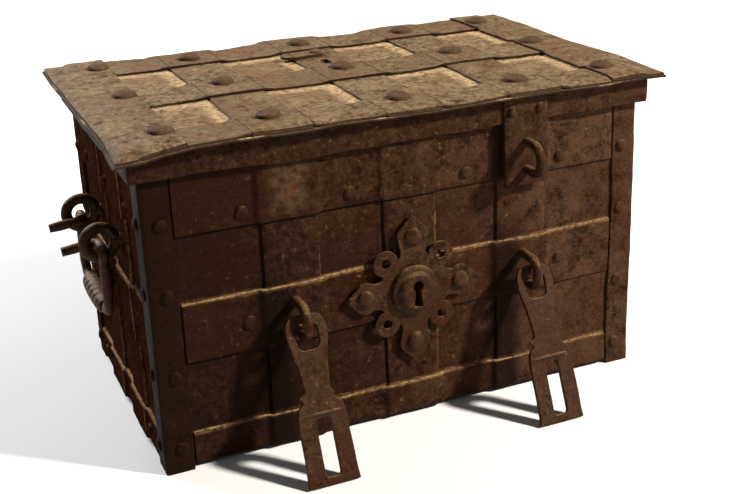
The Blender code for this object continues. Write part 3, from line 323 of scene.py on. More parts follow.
# %% [markdown]
# ## Rivets
# Each head was hammered down hot over its hole, so it is a low dome, a little off round, with a flat or two
# where the hammer glanced. Half a sphere would look like a ball bearing, so a profile is turned and then
# spoiled a little. The places come from the frame: the top of a head is the one point that all of its facets
# meet in, at the same distance.
# %% Find the heads
def head_places(node, outward):
    """Tops of the rivet heads on a node that stand out in one direction."""
    mesh = frame["nodes"][node].data
    corners = np.array([vertex.co for vertex in mesh.vertices], float)
    unique, index = np.unique(np.round(corners, 5), axis=0, return_inverse=True)
    index = index.reshape(-1)
    around = {}
    for polygon in mesh.polygons:
        ids = [index[corner] for corner in polygon.vertices]
        for corner in ids:
            around.setdefault(corner, set()).update(other for other in ids if other != corner)
    outward = np.array(outward, float)
    found = []
    for corner, others in around.items():
        if len(others) < 8:
            continue
        spokes = unique[list(others)] - unique[corner]
        lengths = np.linalg.norm(spokes, axis=1)
        if np.ptp(lengths) < 0.03 * lengths.mean() and (spokes @ outward).max() < -1e-5:
            found.append(unique[corner])
    return found


print(f"{len(head_places('front_band_upper', (0, -1, 0)))} heads on the upper front band")


# %% Hammer a head
HEAD_PROFILE = (
    (1.03, -0.30), (1.00, 0.10), (0.94, 0.40), (0.80, 0.66), (0.60, 0.85), (0.38, 0.95), (0.16, 1.0)
)
HEAD_SIDES = 18


def hammer_head(work, top, outward, size, seed):
    """A rivet head whose top is at a place."""
    radius, height = size
    rng = np.random.default_rng(seed)
    outward = np.array(outward, float)
    across = np.array([outward[1], outward[2], outward[0]])
    other = np.cross(outward, across)
    turn = np.linspace(0, 2 * math.pi, HEAD_SIDES, endpoint=False)
    oval = 1 + 0.05 * np.sin(2 * turn + rng.uniform(0, 6.3)) + 0.03 * np.sin(3 * turn + rng.uniform(0, 6.3))
    lean = rng.uniform(-0.07, 0.07, 2) * radius
    flat_way, flat_at = rng.uniform(0, 6.3), rng.uniform(0.80, 1.02)
    foot = np.array(top) - outward * height
    rings = []
    for share, level in HEAD_PROFILE:
        reach = radius * share * oval
        u, v = reach * np.cos(turn) + lean[0] * level, reach * np.sin(turn) + lean[1] * level
        facing = (u * math.cos(flat_way) + v * math.sin(flat_way)) / radius
        up = height * np.minimum(level, flat_at - 0.55 * facing)
        rings.append(foot + u[:, None] * across + v[:, None] * other + up[:, None] * outward)
    work.skin(rings, mark=1.0)


def rivets(work, node, outward, size=RIVET, seed=1):
    heads = head_places(node, outward)
    for number, top in enumerate(heads):
        hammer_head(work, top, outward, size, seed * 100 + number)
    return len(heads)


print(f"{len(HEAD_PROFILE) * HEAD_SIDES} points on each head")

# %% [markdown]
# ## Shader sums
# A finish is a lot of small sums on masks. They could be drawn by hand in the node editor, but written out as
# node calls they can't be read. So a socket is wrapped in a class that understands + - * and adds the Math
# node for each. A Math node would turn a colour grey, so colours are mixed with Mix nodes.
# %% A socket that can be added up
class Wire:
    """A value in a node tree. Sums of wires add Math nodes."""

    def __init__(self, nodes, socket):
        self.nodes, self.socket = nodes, socket

    def math(self, operation, *others):
        terms = {0: self, **dict(enumerate(others, 1))}
        return self.nodes.node("ShaderNodeMath", {"operation": operation}, terms)

    def __add__(self, other):
        return self.math("ADD", other)

    def __sub__(self, other):
        return self.math("SUBTRACT", other)

    def __mul__(self, other):
        return self.math("MULTIPLY", other)

    def __rsub__(self, other):
        return self.math("MULTIPLY_ADD", -1.0, other)

    def __abs__(self):
        return self.math("ABSOLUTE")

    __radd__, __rmul__ = __add__, __mul__

    def least(self, other):
        return self.math("MINIMUM", other)

    def most(self, other):
        return self.math("MAXIMUM", other)

    def fade(self, low, high):
        """0 below low, 1 above high, and a soft step between."""
        return self.nodes.node(
            "ShaderNodeMapRange", {"interpolation_type": "SMOOTHSTEP"},
            {"Value": self, "From Min": low, "From Max": high},
        )


print("wires can be added, multiplied and faded")

# %% One way to add a node
class Nodes:
    """A node tree. node() adds a node: its settings first, then the values or wires of its sockets."""

    def __init__(self, tree):
        self.tree = tree

    def node(self, kind, settings=None, sockets=None, output=0):
        made = self.tree.nodes.new(kind)
        for name, value in (settings or {}).items():
            setattr(made, name, value)
        for name, value in (sockets or {}).items():
            if isinstance(value, Wire):
                self.tree.links.new(value.socket, made.inputs[name])
            else:
                made.inputs[name].default_value = value
        if made.outputs:
            return Wire(self, made.outputs[output])


print("nodes can be added")

# %% [markdown]
# ## What every finish shares
# Noise could be laid over a piece by an unwrapped map, but this box has far too many small pieces to unwrap.
# Solid noise, read at the place of each point, needs no map and has no seams. Each piece carries a shift of
# its own, so that two straps side by side don't show the same clouds.
# %% A finish
class Finish(Nodes):
    """A material and the values that all its layers use."""

    def __init__(self, name, metallic=0.0, specular=0.14):
        self.material = bpy.data.materials.new(name)
        self.material.use_nodes = True
        super().__init__(self.material.node_tree)
        self.shader = self.tree.nodes["Principled BSDF"]
        self.shader.inputs["Metallic"].default_value = metallic
        self.shader.inputs["Specular IOR Level"].default_value = specular
        self.place = self.node("ShaderNodeTexCoord", output="Object")
        self.normal = self.node("ShaderNodeTexCoord", output="Normal")
        shift = self.node("ShaderNodeAttribute", {"attribute_name": "shift"}, output="Vector")
        self.own_place = self.node(
            "ShaderNodeVectorMath", {"operation": "ADD"}, {0: self.place, 1: shift}, output="Vector"
        )

    def axis(self, vector, letter):
        return self.node("ShaderNodeSeparateXYZ", {}, {0: vector}, output=letter)

    def cloud(self, scale, detail=4, rough=0.6):
        return self.node("ShaderNodeTexNoise", {}, {
            "Vector": self.own_place, "Scale": scale, "Detail": detail, "Roughness": rough,
        })

    def blend(self, amount, below, above):
        below, above = (colour if isinstance(colour, Wire) else (*colour, 1) for colour in (below, above))
        return self.node("ShaderNodeMix", {"data_type": "RGBA"}, {0: amount, 6: below, 7: above}, output=2)

    def near(self, value, places, width):
        """1 on any of the places along an axis, fading to 0 at the width."""
        distance = None
        for place in places:
            here = abs(value - place)
            distance = here if distance is None else distance.least(here)
        return 1 - distance.fade(width * 0.3, width)

    def bumps(self, strength, depth, height):
        self.set("Normal", self.node(
            "ShaderNodeBump", {}, {"Strength": strength, "Distance": depth, "Height": height}
        ))

    def set(self, name, value):
        self.tree.links.new(value.socket, self.shader.inputs[name])


print("finish kit ready")

# %% [markdown]
# ## Old rusted iron
# The walls are wrought iron under three centuries of rust, wax and church dust. One flat brown would look
# like paint, so the finish is built up in layers from clouds of several sizes: a nearly black skin,
# red-brown rust, ochre bloom in patches, pale specks, and black pits. Each layer is one short helper.
# %% Iron colours
# SOOT_AND_SHADE is the pits' colour, and also the colour of painted shade and painted shadow
SOOT_AND_SHADE = (0.0012, 0.0007, 0.0005)
SKIN = (0.0034, 0.0014, 0.0008)
RUST = (0.0195, 0.0072, 0.0032)
BAND_RUST = (0.0235, 0.0080, 0.0034)
PURPLE = (0.0225, 0.0078, 0.0042)
BLOOM = (0.0430, 0.0214, 0.0092)
SIDE_BLOOM = (0.0380, 0.0170, 0.0070)
# pale colour towards the right-hand end of the box
RIGHT_END_PALE = (0.1050, 0.0530, 0.0280)
DUST = (0.2000, 0.1150, 0.0460)
DUST_LINE = (0.2300, 0.1350, 0.0600)
RED_LEAD = (0.1400, 0.0170, 0.0110)
PALE_PAINT = (0.1700, 0.1060, 0.0500)
# worn dark metal, and painted shade on faces that don't face up
BARE_AND_SHADE = (0.0170, 0.0095, 0.0055)
HEAD = (0.0300, 0.0120, 0.0055)
WARM_SHEEN = (1.0, 0.78, 0.60, 1)
print(f"dust is {DUST[0] / SKIN[0]:.0f} times as light as the iron's skin")


# %% Rust in clouds
def rust(iron, skin, body, bloom, dust, bloom_share, rusting):
    """The iron's own colour, and the clouds that later layers use again."""
    broad, mottle = iron.cloud(8.0, 3, 0.55), iron.cloud(42.0, 9, 0.72)
    grain, specks = iron.cloud(330.0, 5, 0.75), iron.cloud(150.0, 4, 0.7)
    tone = mottle * 0.60 + grain * 0.40
    colour = iron.blend(tone.fade(0.36, 0.62), skin, body)
    rusty = (1 - broad).fade(0.40, 0.62) * (1 - mottle).fade(0.44, 0.60)
    colour = iron.blend(rusty * rusting, colour, (body[0] * 1.35, body[1] * 0.80, body[2] * 0.65))
    patches = broad.fade(0.36, 0.62) * (specks * 0.45 + mottle * 0.25 + grain * 0.3).fade(0.44, 0.60)
    colour = iron.blend(patches * bloom_share, colour, bloom)
    colour = iron.blend(specks.fade(0.58, 0.72) * grain.fade(0.46, 0.62) * 0.6, colour, dust)
    pits = 1 - (specks * 0.6 + mottle * 0.4).fade(0.33, 0.46)
    return iron.blend(pits * 0.75, colour, SOOT_AND_SHADE), (mottle, grain, specks, tone, patches)


print("rust ready")


# %% Lines of painted shade and dust
def lines(iron, colour, specks, wobble, shade_lines, ledges, width, share, dust, top_dust):
    """Painted shade along dark lines, dust on the ledges and on what faces up. The lines on the uprights' lit
    edges are partly painted highlight. Both lists hold (axis letter, places).
    """
    worn = specks.fade(0.36, 0.60) * 0.8 + 0.2
    # painted shade: dark lines under the bands, under the skirt and along the straps' edges
    for letter, places in shade_lines:
        dark = iron.near(iron.axis(iron.place, letter) + wobble * 0.4, places, width * 0.6)
        colour = iron.blend(dark * 0.90, colour, SOOT_AND_SHADE)
    for letter, places in ledges:
        bright = iron.near(iron.axis(iron.place, letter) + wobble, places, width)
        colour = iron.blend(bright * worn * share, colour, dust)
    upward = iron.axis(iron.normal, "Z").fade(0.45, 0.95)
    return iron.blend(upward * worn * top_dust, colour, dust)


print("lines ready")

# %% [markdown]
# ## Wear, tone and painted shade by place
# The front is paler towards its right-hand end and darkest at the far left. Rivet heads and sheet edges were
# touched most. Faces that don't face up are darker, partly worn metal and partly painted shade. Painted
# shadow lies behind the hasps and beside the tab, where they cast their shadows. These could be painted by
# hand, but soft steps along an axis follow the frame when a size changes.
# %% Wear, tone and painted shadow by place
# the painted shadows of the hasps and the tab lie to their left
hasp_lines = [float(span(f"hasp_{hand}")[0][0] + 0.006) for hand in ("left", "right")]
tab_edge = float(span("lid_tab")[0][0])


# paler towards the right-hand end
def paler_right_end(iron, colour, tone, glow):
    right_end = iron.axis(iron.place, "X").fade(-0.10, 0.24)
    return iron.blend(right_end * tone.fade(0.36, 0.60) * glow, colour, RIGHT_END_PALE)


# partly worn metal, partly painted shade: every face that doesn't face up is darkened, such as the sheet's
# underside
def worn_and_shaded_sides(iron, colour, amount):
    return iron.blend((1 - iron.axis(iron.normal, "Z").fade(0.15, 0.75)) * amount, colour, BARE_AND_SHADE)


def touched_heads(iron, colour, mottle, head, amount):
    on_head = iron.node("ShaderNodeAttribute", {"attribute_name": "head"}, output="Fac")
    return iron.blend(on_head * (mottle.fade(0.35, 0.60) * 0.4 + 0.6) * amount, colour, head)


# darker towards the left-hand end
def gloomy_end(iron, colour, skin, gloom):
    left_end = 1 - iron.axis(iron.place, "X").fade(-0.38, 0.06)
    return iron.blend(left_end * gloom, colour, (skin[0] * 1.4, skin[1] * 1.2, skin[2]))


# painted shadow: dark patches where the hasps and the tab cast their shadows
def paint_cast_shadows(iron, colour, wobble, amount):
    x, z = iron.axis(iron.place, "X"), iron.axis(iron.place, "Z")
    behind = iron.near(x + wobble * 2, hasp_lines, 0.031) * (1 - (z + wobble * 2).fade(0.170, 0.232))
    beside_tab = iron.near(x + wobble, [tab_edge - 0.004], 0.010) * z.fade(0.262, 0.272)
    return iron.blend(behind.most(beside_tab) * amount, colour, SOOT_AND_SHADE)


print("painted shadow behind the hasps at", [round(1000 * place) for place in hasp_lines], "mm")


# %% Build an iron finish
def iron_finish(name, skin=SKIN, body=RUST, bloom=BLOOM, dust=DUST, bloom_share=0.6, top_dust=0.6, ledges=(),
                shade_lines=(), line_width=0.0022, line_share=0.5, extra=None, gloss=0.0, metallic=0.02,
                specular=0.05, head=HEAD, head_share=0.4, dark_edges=0.0, gloom=0.0, glow=0.0, cast_shadow=0.0,
                rusting=0.6):
    """Rusted iron, layer by layer. extra is a layer of this finish's own, over the rust."""
    iron = Finish(name, metallic, specular)
    iron.shader.inputs["Specular Tint"].default_value = WARM_SHEEN
    colour, clouds = rust(iron, skin, body, bloom, dust, bloom_share, rusting)
    mottle, grain, specks, tone, patches = clouds
    wobble = (iron.cloud(40.0, 4) - 0.5) * 0.0038
    if extra:
        colour = extra(iron, colour, mottle)
    # these lines are dust, painted shade and, on some edges, painted highlight
    colour = lines(iron, colour, specks, wobble, shade_lines, ledges, line_width, line_share, dust, top_dust)
    if glow:
        colour = paler_right_end(iron, colour, tone, glow)
    # partly wear, partly painted shade on faces that don't face up
    if dark_edges:
        colour = worn_and_shaded_sides(iron, colour, dark_edges)
    colour = touched_heads(iron, colour, mottle, head, head_share)
    if gloom:
        colour = gloomy_end(iron, colour, skin, gloom)
    # painted shadow behind the hasps and beside the tab
    if cast_shadow:
        colour = paint_cast_shadows(iron, colour, wobble, cast_shadow)
    iron.set("Base Color", colour)
    iron.set("Roughness", tone * 0.34 + (0.46 - gloss) + patches * 0.15)
    iron.bumps(0.9, 0.0013, mottle * 1.1 + grain * 0.22 + specks * 0.35)
    return iron.material


print("iron ready")

# %% [markdown]
# ## Where dust and painted shade lie
# The walls' straps make the ledges, so the finish takes their heights and edges from the frame. Dust gathers
# just above a band's top edge. Painted shade lies just under a band's lower edge, just under the skirt and
# along the uprights' edges. The lines on the uprights' lit edges are partly dust, partly painted highlight.
# The sides are darker than the front.
# %% Lines on the walls
bands = [f"front_band_{level}" for level in ("lower", "middle", "upper")]
band_tops = [float(span(band)[1][2]) for band in bands]
band_undersides = [float(span(band)[0][2]) for band in bands[1:]]
front_uprights = [f"front_upright_{place}" for place in ("left", "centre", "right")]
left_edges, right_edges = ([float(span(node)[side][0]) for node in front_uprights] for side in (0, 1))
side_uprights = ["left_upright_front", "left_upright_rear"]
side_edges = [float(span(node)[side][1]) for node in side_uprights for side in (0, 1)]
wall_ledges = ("Z", [top + 0.0012 for top in band_tops])
# painted shade lines: under the middle and upper bands and just under the skirt
wall_shade_lines = ("Z", [under - 0.0010 for under in band_undersides] + [band_tops[-1] + 0.006])
band_ledges = ("Z", [top - 0.0006 for top in band_tops])
band_shade_lines = ("Z", [under + 0.0004 for under in band_undersides])
print("ledges at", [round(1000 * top) for top in band_tops], "mm")

# %% [markdown]
# ## Old paint
# Where the left staple's plate broke off, a pale patch with a spot of red lead is left on the upper band.
# More red lead is left at the right end of the skirt. Both are layers over the rust, with ragged edges.
# %% Scar and red end
SCAR = (-0.142, 0.303)          # middle of the pale patch on the front, x and z
SPOT = (-0.140, 0.296)


def scar(iron, colour, mottle):
    """The pale patch and the spot of red lead on the upper front band."""
    x, z = iron.axis(iron.place, "X"), iron.axis(iron.place, "Z")
    wave = (iron.cloud(38.0, 4) - 0.5) * 0.040
    patch = 1 - abs(x - SCAR[0] + wave).fade(0.006, 0.032)
    patch = patch * (1 - abs(z - SCAR[1] + wave).fade(0.006, 0.040))
    patch = patch * (iron.cloud(110.0, 5).fade(0.36, 0.64) * 0.8 + 0.2)
    colour = iron.blend(patch * 0.36, colour, PALE_PAINT)
    spot = (1 - abs(x - SPOT[0] + wave).fade(0.002, 0.009)) * (1 - abs(z - SPOT[1] + wave).fade(0.002, 0.013))
    return iron.blend(spot * 0.22, colour, RED_LEAD)


def red_end(iron, colour, mottle):
    """Red lead at the right end of the skirt, mostly under the sheet's edge."""
    front = (0 - iron.axis(iron.place, "Y")).fade(0.10, 0.17)
    front_end = iron.axis(iron.place, "X").fade(0.20, 0.32) * front
    low, high = (float(corner[2]) for corner in span("lid_skirt"))
    upper = iron.axis(iron.place, "Z").fade(low + 0.35 * (high - low), low + 0.85 * (high - low))
    paint = front_end * (upper * 0.8 + 0.2) * (mottle * 0.6 + iron.cloud(70.0, 3) * 0.4).fade(0.44, 0.58)
    return iron.blend(paint * 0.26, colour, RED_LEAD)


print("paint ready")

# %% Iron of the front
# painted shade along the uprights' left edges; the lines on their right edges are partly dust, partly painted
# highlight
front_iron = iron_finish(
    "front_plate_iron", gloom=0.75, glow=0.35, cast_shadow=0.75, ledges=[wall_ledges, ("X", right_edges)],
    shade_lines=[wall_shade_lines, ("X", [edge - 0.0006 for edge in left_edges])],
)
band_iron = iron_finish(
    "front_band_iron", body=BAND_RUST, bloom_share=0.75, ledges=[band_ledges], shade_lines=[band_shade_lines],
    line_width=0.0024, extra=scar, gloom=0.6, glow=0.35, cast_shadow=0.75,
)
upright_iron = iron_finish(
    "front_upright_iron", gloom=0.75, glow=0.35, cast_shadow=0.75, bloom_share=0.7, ledges=[wall_ledges],
    shade_lines=[wall_shade_lines],
)
corner_iron = iron_finish("front_corner_iron", body=BAND_RUST, bloom_share=0.7, gloom=0.95, glow=0.30)
skirt_iron = iron_finish(
    "skirt_iron", body=(0.0235, 0.0095, 0.0040), bloom_share=0.7, gloom=0.4, glow=0.15, extra=red_end
)
print("five finishes for the front")

# %% Iron of the sides, the back and the inside
side_iron = iron_finish(
    "side_plate_iron", specular=0.0, body=PURPLE, bloom=(0.034, 0.015, 0.006), bloom_share=0.45,
    ledges=[wall_ledges], shade_lines=[wall_shade_lines, ("Y", side_edges)],
)
# lines on the side uprights' front edges: partly dust, partly painted highlight
upright_ledges = ("Y", [side_edges[0], side_edges[2]])
side_band_iron = iron_finish(
    "side_band_iron", specular=0.0, body=PURPLE, bloom=SIDE_BLOOM, bloom_share=0.5,
    ledges=[band_ledges, upright_ledges], shade_lines=[band_shade_lines],
)
side_corner_iron = iron_finish(
    "side_corner_iron", specular=0.0, body=PURPLE, bloom=SIDE_BLOOM, bloom_share=0.5
)
right_iron = iron_finish(
    "right_wall_iron", glow=0.12, ledges=[wall_ledges], shade_lines=[wall_shade_lines, ("Y", side_edges)]
)
right_band_iron = iron_finish(
    "right_band_iron", glow=0.12, ledges=[band_ledges, upright_ledges], shade_lines=[band_shade_lines]
)
inner_iron = iron_finish("inner_iron", body=(0.018, 0.010, 0.006), bloom_share=0.3, top_dust=0.4)
print("six finishes for the rest")

# %% [markdown]
# ## The lid's iron
# Hands and candle wax have polished the lid and dust has made it tan. The sunken panels keep the most dust
# along their edges. Faces that don't face up, such as the straps' sides and the sheet's underside, are
# darker:
# partly worn dark metal, partly painted shade. It is the same iron with paler colours, so the same layers
# make it.
# %% Lines on the lid
LID_SKIN = (0.0380, 0.0230, 0.0120)
LID_BODY = (0.1400, 0.0920, 0.0510)
LID_BLOOM = (0.2520, 0.1720, 0.0940)
LID_DUST = (0.4300, 0.2900, 0.1560)
RUBBED = (0.0200, 0.0140, 0.0100)
lid_straps = [f"lid_strap_{place}" for place in ("left", "centre", "right")]
lid_bands = [f"lid_band_{place}" for place in ("front", "middle", "back")]
lid_ends = ["lid_end_strap_left", "lid_end_strap_right"]
strap_edges = [float(span(node)[side][0]) for node in lid_straps + lid_ends for side in (0, 1)]
strap_edges = [edge for edge in strap_edges if abs(edge) < 0.30]
lid_band_edges = sorted(float(span(node)[side][1]) for node in lid_bands for side in (0, 1))[1:-1]
sheltered_x = [float(span(node)[0][0]) - 0.003 for node in lid_straps + lid_ends[1:]]
sheltered_y = [float(span(node)[0][1]) - 0.003 for node in lid_bands[1:]]
print(f"{len(strap_edges) + len(lid_band_edges)} strap edges on the lid")


# %% Lid finishes
def bare_rim(iron, colour, mottle):
    """The sheet's edge is rubbed to dark metal at the front and at both ends."""
    side = abs(iron.axis(iron.place, "X")).fade(0.3185, 0.3225)
    front = (0 - iron.axis(iron.place, "Y")).fade(0.1945, 0.1985)
    return iron.blend(side.most(front) * 0.85, colour, RUBBED)


# dark_edges darkens faces that don't face up here and in the straps' finish below: partly worn metal, partly
# painted shade
lid_sheet_iron = iron_finish(
    "lid_sheet_iron", LID_SKIN, LID_BODY, LID_BLOOM, LID_DUST, 0.6, 0.12,
    ledges=[("X", sheltered_x), ("Y", sheltered_y)], line_width=0.0190, line_share=0.75,
    dark_edges=0.9, extra=bare_rim, rusting=0.35,
)
# painted shade lines along the edges of the lid's straps and bands
lid_iron = iron_finish(
    "lid_strap_iron", LID_SKIN, (0.1020, 0.0670, 0.0385), (0.1860, 0.1270, 0.0700), LID_DUST, 0.7, 0.10,
    shade_lines=[("X", strap_edges), ("Y", lid_band_edges)], line_width=0.0020, gloss=0.02,
    head=(0.0560, 0.0300, 0.0170), head_share=0.9, dark_edges=0.8, rusting=0.4,
)
print("two lid finishes")

# %% [markdown]
# ## Fittings and lock
# Hasps, staples, rings and the false lock plate are the same iron, kept smoother by hands, so they shine a
# little. The lock under the lid has stayed dry and is still grey metal.
# %% Fitting and lock finishes
fitting_iron = iron_finish(
    "fitting_iron", body=(0.0300, 0.0118, 0.0048), bloom=(0.0560, 0.0270, 0.0100), gloss=0.17,
    metallic=0.04, specular=0.11,
)
lock_iron = iron_finish(
    "lock_iron", (0.020, 0.017, 0.015), (0.060, 0.052, 0.045), (0.085, 0.066, 0.046), DUST, 0.4, 0.2,
    gloss=0.12, metallic=0.6,
)
print("fitting and lock finishes")


# %% [markdown]
# ## Straps from the frame
# A strap's box in the frame says where it lies, how long and how wide it is and which way it faces. The other
# straps' boxes say where it climbs. So one helper forges them all, with its rivets on it.
# %% Read a strap's place
def towards(direction):
    vector = np.zeros(3)
    vector["xyz".index(direction[-1])] = -1 if direction[0] == "-" else 1
    return vector


def lie(node, run, out):
    """Middle of a flat piece's underside, its three directions, its length and its width."""
    low, high = span(node)
    run_axis, out_axis = "xyz".index(run), "xyz".index(out[-1])
    across_axis = 3 - run_axis - out_axis
    middle = (low + high) / 2
    middle[out_axis] = high[out_axis] if out[0] == "-" else low[out_axis]
    size = high - low
    directions = towards(run), np.eye(3)[across_axis], towards(out)
    return middle, directions, size[run_axis], size[across_axis]


print(f"the upper front band is {1000 * lie('front_band_upper', 'x', '-y')[3]:.0f} mm wide")

# %% [markdown]
# ## Dust on the ledges
# A band's top edge is a ledge three millimetres deep. Dust fills it and creeps up the plate behind it, as a
# thin pale line that is never quite even. Colour alone would look painted on, so it is a small wedge along
# the ledge, that climbs where the band does.
# %% Dust
DAMP_DUST = (0.0400, 0.0190, 0.0090)
dust_finish = Finish("church_dust")
dusty_cloud = dust_finish.cloud(160.0, 6, 0.7)
dust_finish.set("Base Color", dust_finish.blend(dusty_cloud.fade(0.35, 0.62), DAMP_DUST, DUST_LINE))
dust_finish.set("Roughness", dusty_cloud * 0.2 + 0.75)
dust_finish.bumps(0.8, 0.0008, dusty_cloud)
print("dust finish ready")


# %% Lay dust on a ledge
def lay_dust(node, start, along, across, outward, ends, crossings, seed, body):
    """A wedge of dust on the top edge of a band."""
    marks = stations(*ends, 0.004, crossings)
    lift = climb(marks, crossings, STRAP_T + GAP)
    drift = Ripples(seed + 900, 0.035)
    middle = start + marks[:, None] * along
    amount = np.clip(0.55 + 0.40 * drift(middle), 0.12, 1.0)
    rings = []
    for place, height, share in zip(middle, lift, amount):
        back, front = height - STRAP_T * 0.5, height + STRAP_T * (0.35 + 0.40 * share)
        rings.append([
            place + outward * back - across * 0.0016, place + outward * front - across * 0.0016,
            place + outward * front - across * 0.0002, place + outward * (front - 0.0004) + across * 0.0003,
            place + outward * (height + 0.0006) + across * (0.0002 + 0.0006 * share),
            place + outward * back + across * (0.0003 + 0.0009 * share),
        ])
    work = Work()
    work.skin(rings)
    piece_from(f"{node}_dust", work, body, dust_finish.material, (), settle)


print("dust can be laid")


# %% Forge from the frame
def strap(node, run, out, finish, slot, over=(), heads=RIVET, seed=1, shape=settle, body="chest",
          trim=0.0, dusty=False, **more):
    """A strap that takes its node's place, with the node's rivets and, if dusty, dust on its top edge."""
    middle, (along, across, outward), length, width = lie(node, run, out)
    axis = "xyz".index(run)
    crossings = []
    for other in over:
        low, high = span(other)
        crossings.append(((low[axis] + high[axis]) / 2 - middle[axis], high[axis] - low[axis]))
    ends = (-length / 2 + trim, length / 2 - trim)
    work = Work()
    forge_strap(work, middle, along, across, outward, ends, width, crossings=crossings, seed=seed, **more)
    count = rivets(work, node, outward, heads, seed)
    piece_from(f"{node}_forged", work, body, finish, [node], shape)
    if dusty:
        lay_dust(node, middle + across * width / 2, along, across, outward, ends, crossings, seed, body)
    return count


print("straps can be forged from the frame")

# %% [markdown]
# ## Plates
# The four walls and the bottom are plates of the same iron. A wall is made as one very wide strap, which
# gives it points all over both faces, so that it bellies a little between the straps. The bottom and the rim
# inside are hardly seen, so they keep their frame shape with a worn edge.
# %% Wall plates
for node, run, out, finish in (
    ("front_plate", "x", "-y", front_iron), ("back_plate", "x", "+y", side_iron),
    ("left_plate", "y", "-x", side_iron), ("right_plate", "y", "+x", right_iron),
):
    strap(node, run, out, finish, "plate_iron", seed=len(node), step=WALL_STEP, two_faced=True, ragged=0)
for node in ("bottom_plate", "rim_frame"):
    kept = frame["nodes"][node]
    edge = kept.modifiers.new("worn_edge", "BEVEL")
    edge.width, edge.segments, edge.limit_method = 0.0007, 2, "ANGLE"
    kept.data.materials.clear()
    kept.data.materials.append(inner_iron)
print("four walls, a bottom and a rim")

# %% [markdown]
# ## Uprights and bands
# The uprights are riveted on first, then the bands over them, so a band climbs over each upright it meets.
# Where a band climbs follows from the uprights' boxes. On the back the hinge leaves lie under the bands.
# %% The lattice
total = 0
walls = {"front": ("x", "-y", front_uprights), "back": ("x", "+y", []),
         "left": ("y", "-x", side_uprights),
         "right": ("y", "+x", ["right_upright_front", "right_upright_rear"])}
for number, (wall, (run, out, uprights)) in enumerate(walls.items()):
    band_finish = {"front": band_iron, "right": right_band_iron}.get(wall, side_band_iron)
    beneath = uprights or ["hinge_body_leaf_left", "hinge_body_leaf_right"]
    for place, node in enumerate(uprights):
        finish = upright_iron if wall == "front" else band_finish
        total += strap(node, "z", out, finish, "band_iron", seed=20 + 7 * number + place)
    for place, level in enumerate(("lower", "middle", "upper")):
        node = f"{wall}_band_{level}"
        if node in frame["nodes"]:
            total += strap(
                node, run, out, band_finish, "band_iron", over=beneath, seed=60 + 11 * number + place,
                dusty=wall != "back",
            )
print(f"{total} rivets on the walls")

# %% [markdown]
# ## Corner irons
# An angle iron covers each corner from the floor to just under the lid, and its ends are the feet. Two flat
# straps would leave a seam at the corner, so one L with a worn outer corner is carried up the box. Signs for
# x and y turn the same L to all four corners.
# %% Corner iron's section
CORNER_LEG = 0.033
outer_x = -left_face + GAP + STRAP_T
outer_y = -front_face + GAP + STRAP_T


def corner_section():
    """(x, y) round an angle whose outer corner is at +x, +y."""
    flat = np.linspace(CORNER_LEG - WORN, 0.0024, 6)
    inner_x, inner_y = outer_x - STRAP_T, outer_y - STRAP_T
    face = [(outer_x - reach, outer_y) for reach in flat]
    side = [(outer_x, outer_y - reach) for reach in flat[::-1]]
    start = [(outer_x - CORNER_LEG, inner_y), (outer_x - CORNER_LEG, outer_y - WORN)]
    bend = [(outer_x - 0.0008, outer_y - 0.0008)]
    end = [(outer_x - WORN, outer_y - CORNER_LEG), (inner_x, outer_y - CORNER_LEG), (inner_x, inner_y)]
    return np.array(start + face + bend + side + end)


print(f"{len(corner_section())} points round a corner iron")

# %% Forge the corners
angle = corner_section()
for number, (end, hand) in enumerate(
    [(end, hand) for end in ("front", "back") for hand in ("left", "right")]
):
    node = f"corner_iron_{end}_{hand}"
    signs = np.array([-1 if hand == "left" else 1, -1 if end == "front" else 1])
    low, high = span(node)
    levels = np.linspace(low[2], high[2], 60)
    edge, marks = Ripples(140 + number, 0.045), Ripples(150 + number, 0.026)
    reach = (np.array([outer_x, outer_y]) - angle) / CORNER_LEG
    rings = []
    for level in levels:
        spots = np.column_stack([angle, np.full(len(angle), level)])
        pull = RAGGED * (1 + edge(spots))[:, None] * reach
        dent = HAMMERED * (1 + marks(spots))[:, None] * (reach < 0.05)
        flat = (angle + pull - dent) * signs
        rings.append(np.column_stack([flat, spots[:, 2]]))
    work = Work()
    work.skin(rings)
    rivets(work, node, (0, signs[1], 0), RIVET, 170 + number)
    rivets(work, node, (signs[0], 0, 0), RIVET, 180 + number)
    finish = corner_iron if end == "front" else side_corner_iron
    piece_from(f"{node}_forged", work, "chest", finish, [node], settle)
print("four corner irons")

# %% [markdown]
# ## The lid's shell
# A sheet overhangs a deep skirt. The sheet's edge has been bumped for centuries: it waves, droops past the
# skirt, and one corner is bent well down. A lattice modifier could bend it, but every strap on it would need
# the same one. A function that moves points is simpler to share.
# %% The lid's bend
skirt_low, skirt_high = span("lid_skirt")
sheet_high = span("lid_sheet")[1]
CORNER_BEND = 0.0090            # how far the front left corner is bent down
droop = Ripples(31, 0.11)


def settle_lid(places):
    moved = settle(places)
    past = np.maximum(
        (np.abs(places[:, 0]) - skirt_high[0] + 0.003) / 0.017,
        np.maximum(skirt_low[1] + 0.003 - places[:, 1], places[:, 1] - skirt_high[1] - 0.006) / 0.019,
    )
    bump = smooth((-places[:, 0] - 0.24) / 0.07) * smooth((-places[:, 1] - 0.12) / 0.07)
    above = smooth((places[:, 2] - skirt_high[2] + 0.004) / 0.003)
    moved[:, 2] -= smooth(past) * above * (0.0016 * (1 + droop(places)) + CORNER_BEND * bump)
    return np.clip(moved, np.array(cad_low), np.array(cad_high))


print(f"the sheet's top is at {1000 * sheet_high[2]:.1f} mm")

# %% Sheet
strap("lid_sheet", "x", "+z", lid_sheet_iron, "lid_iron", seed=41, step=0.0065, two_faced=True,
      ragged=0.0012, shape=settle_lid, body="lid")
print("sheet on the lid")

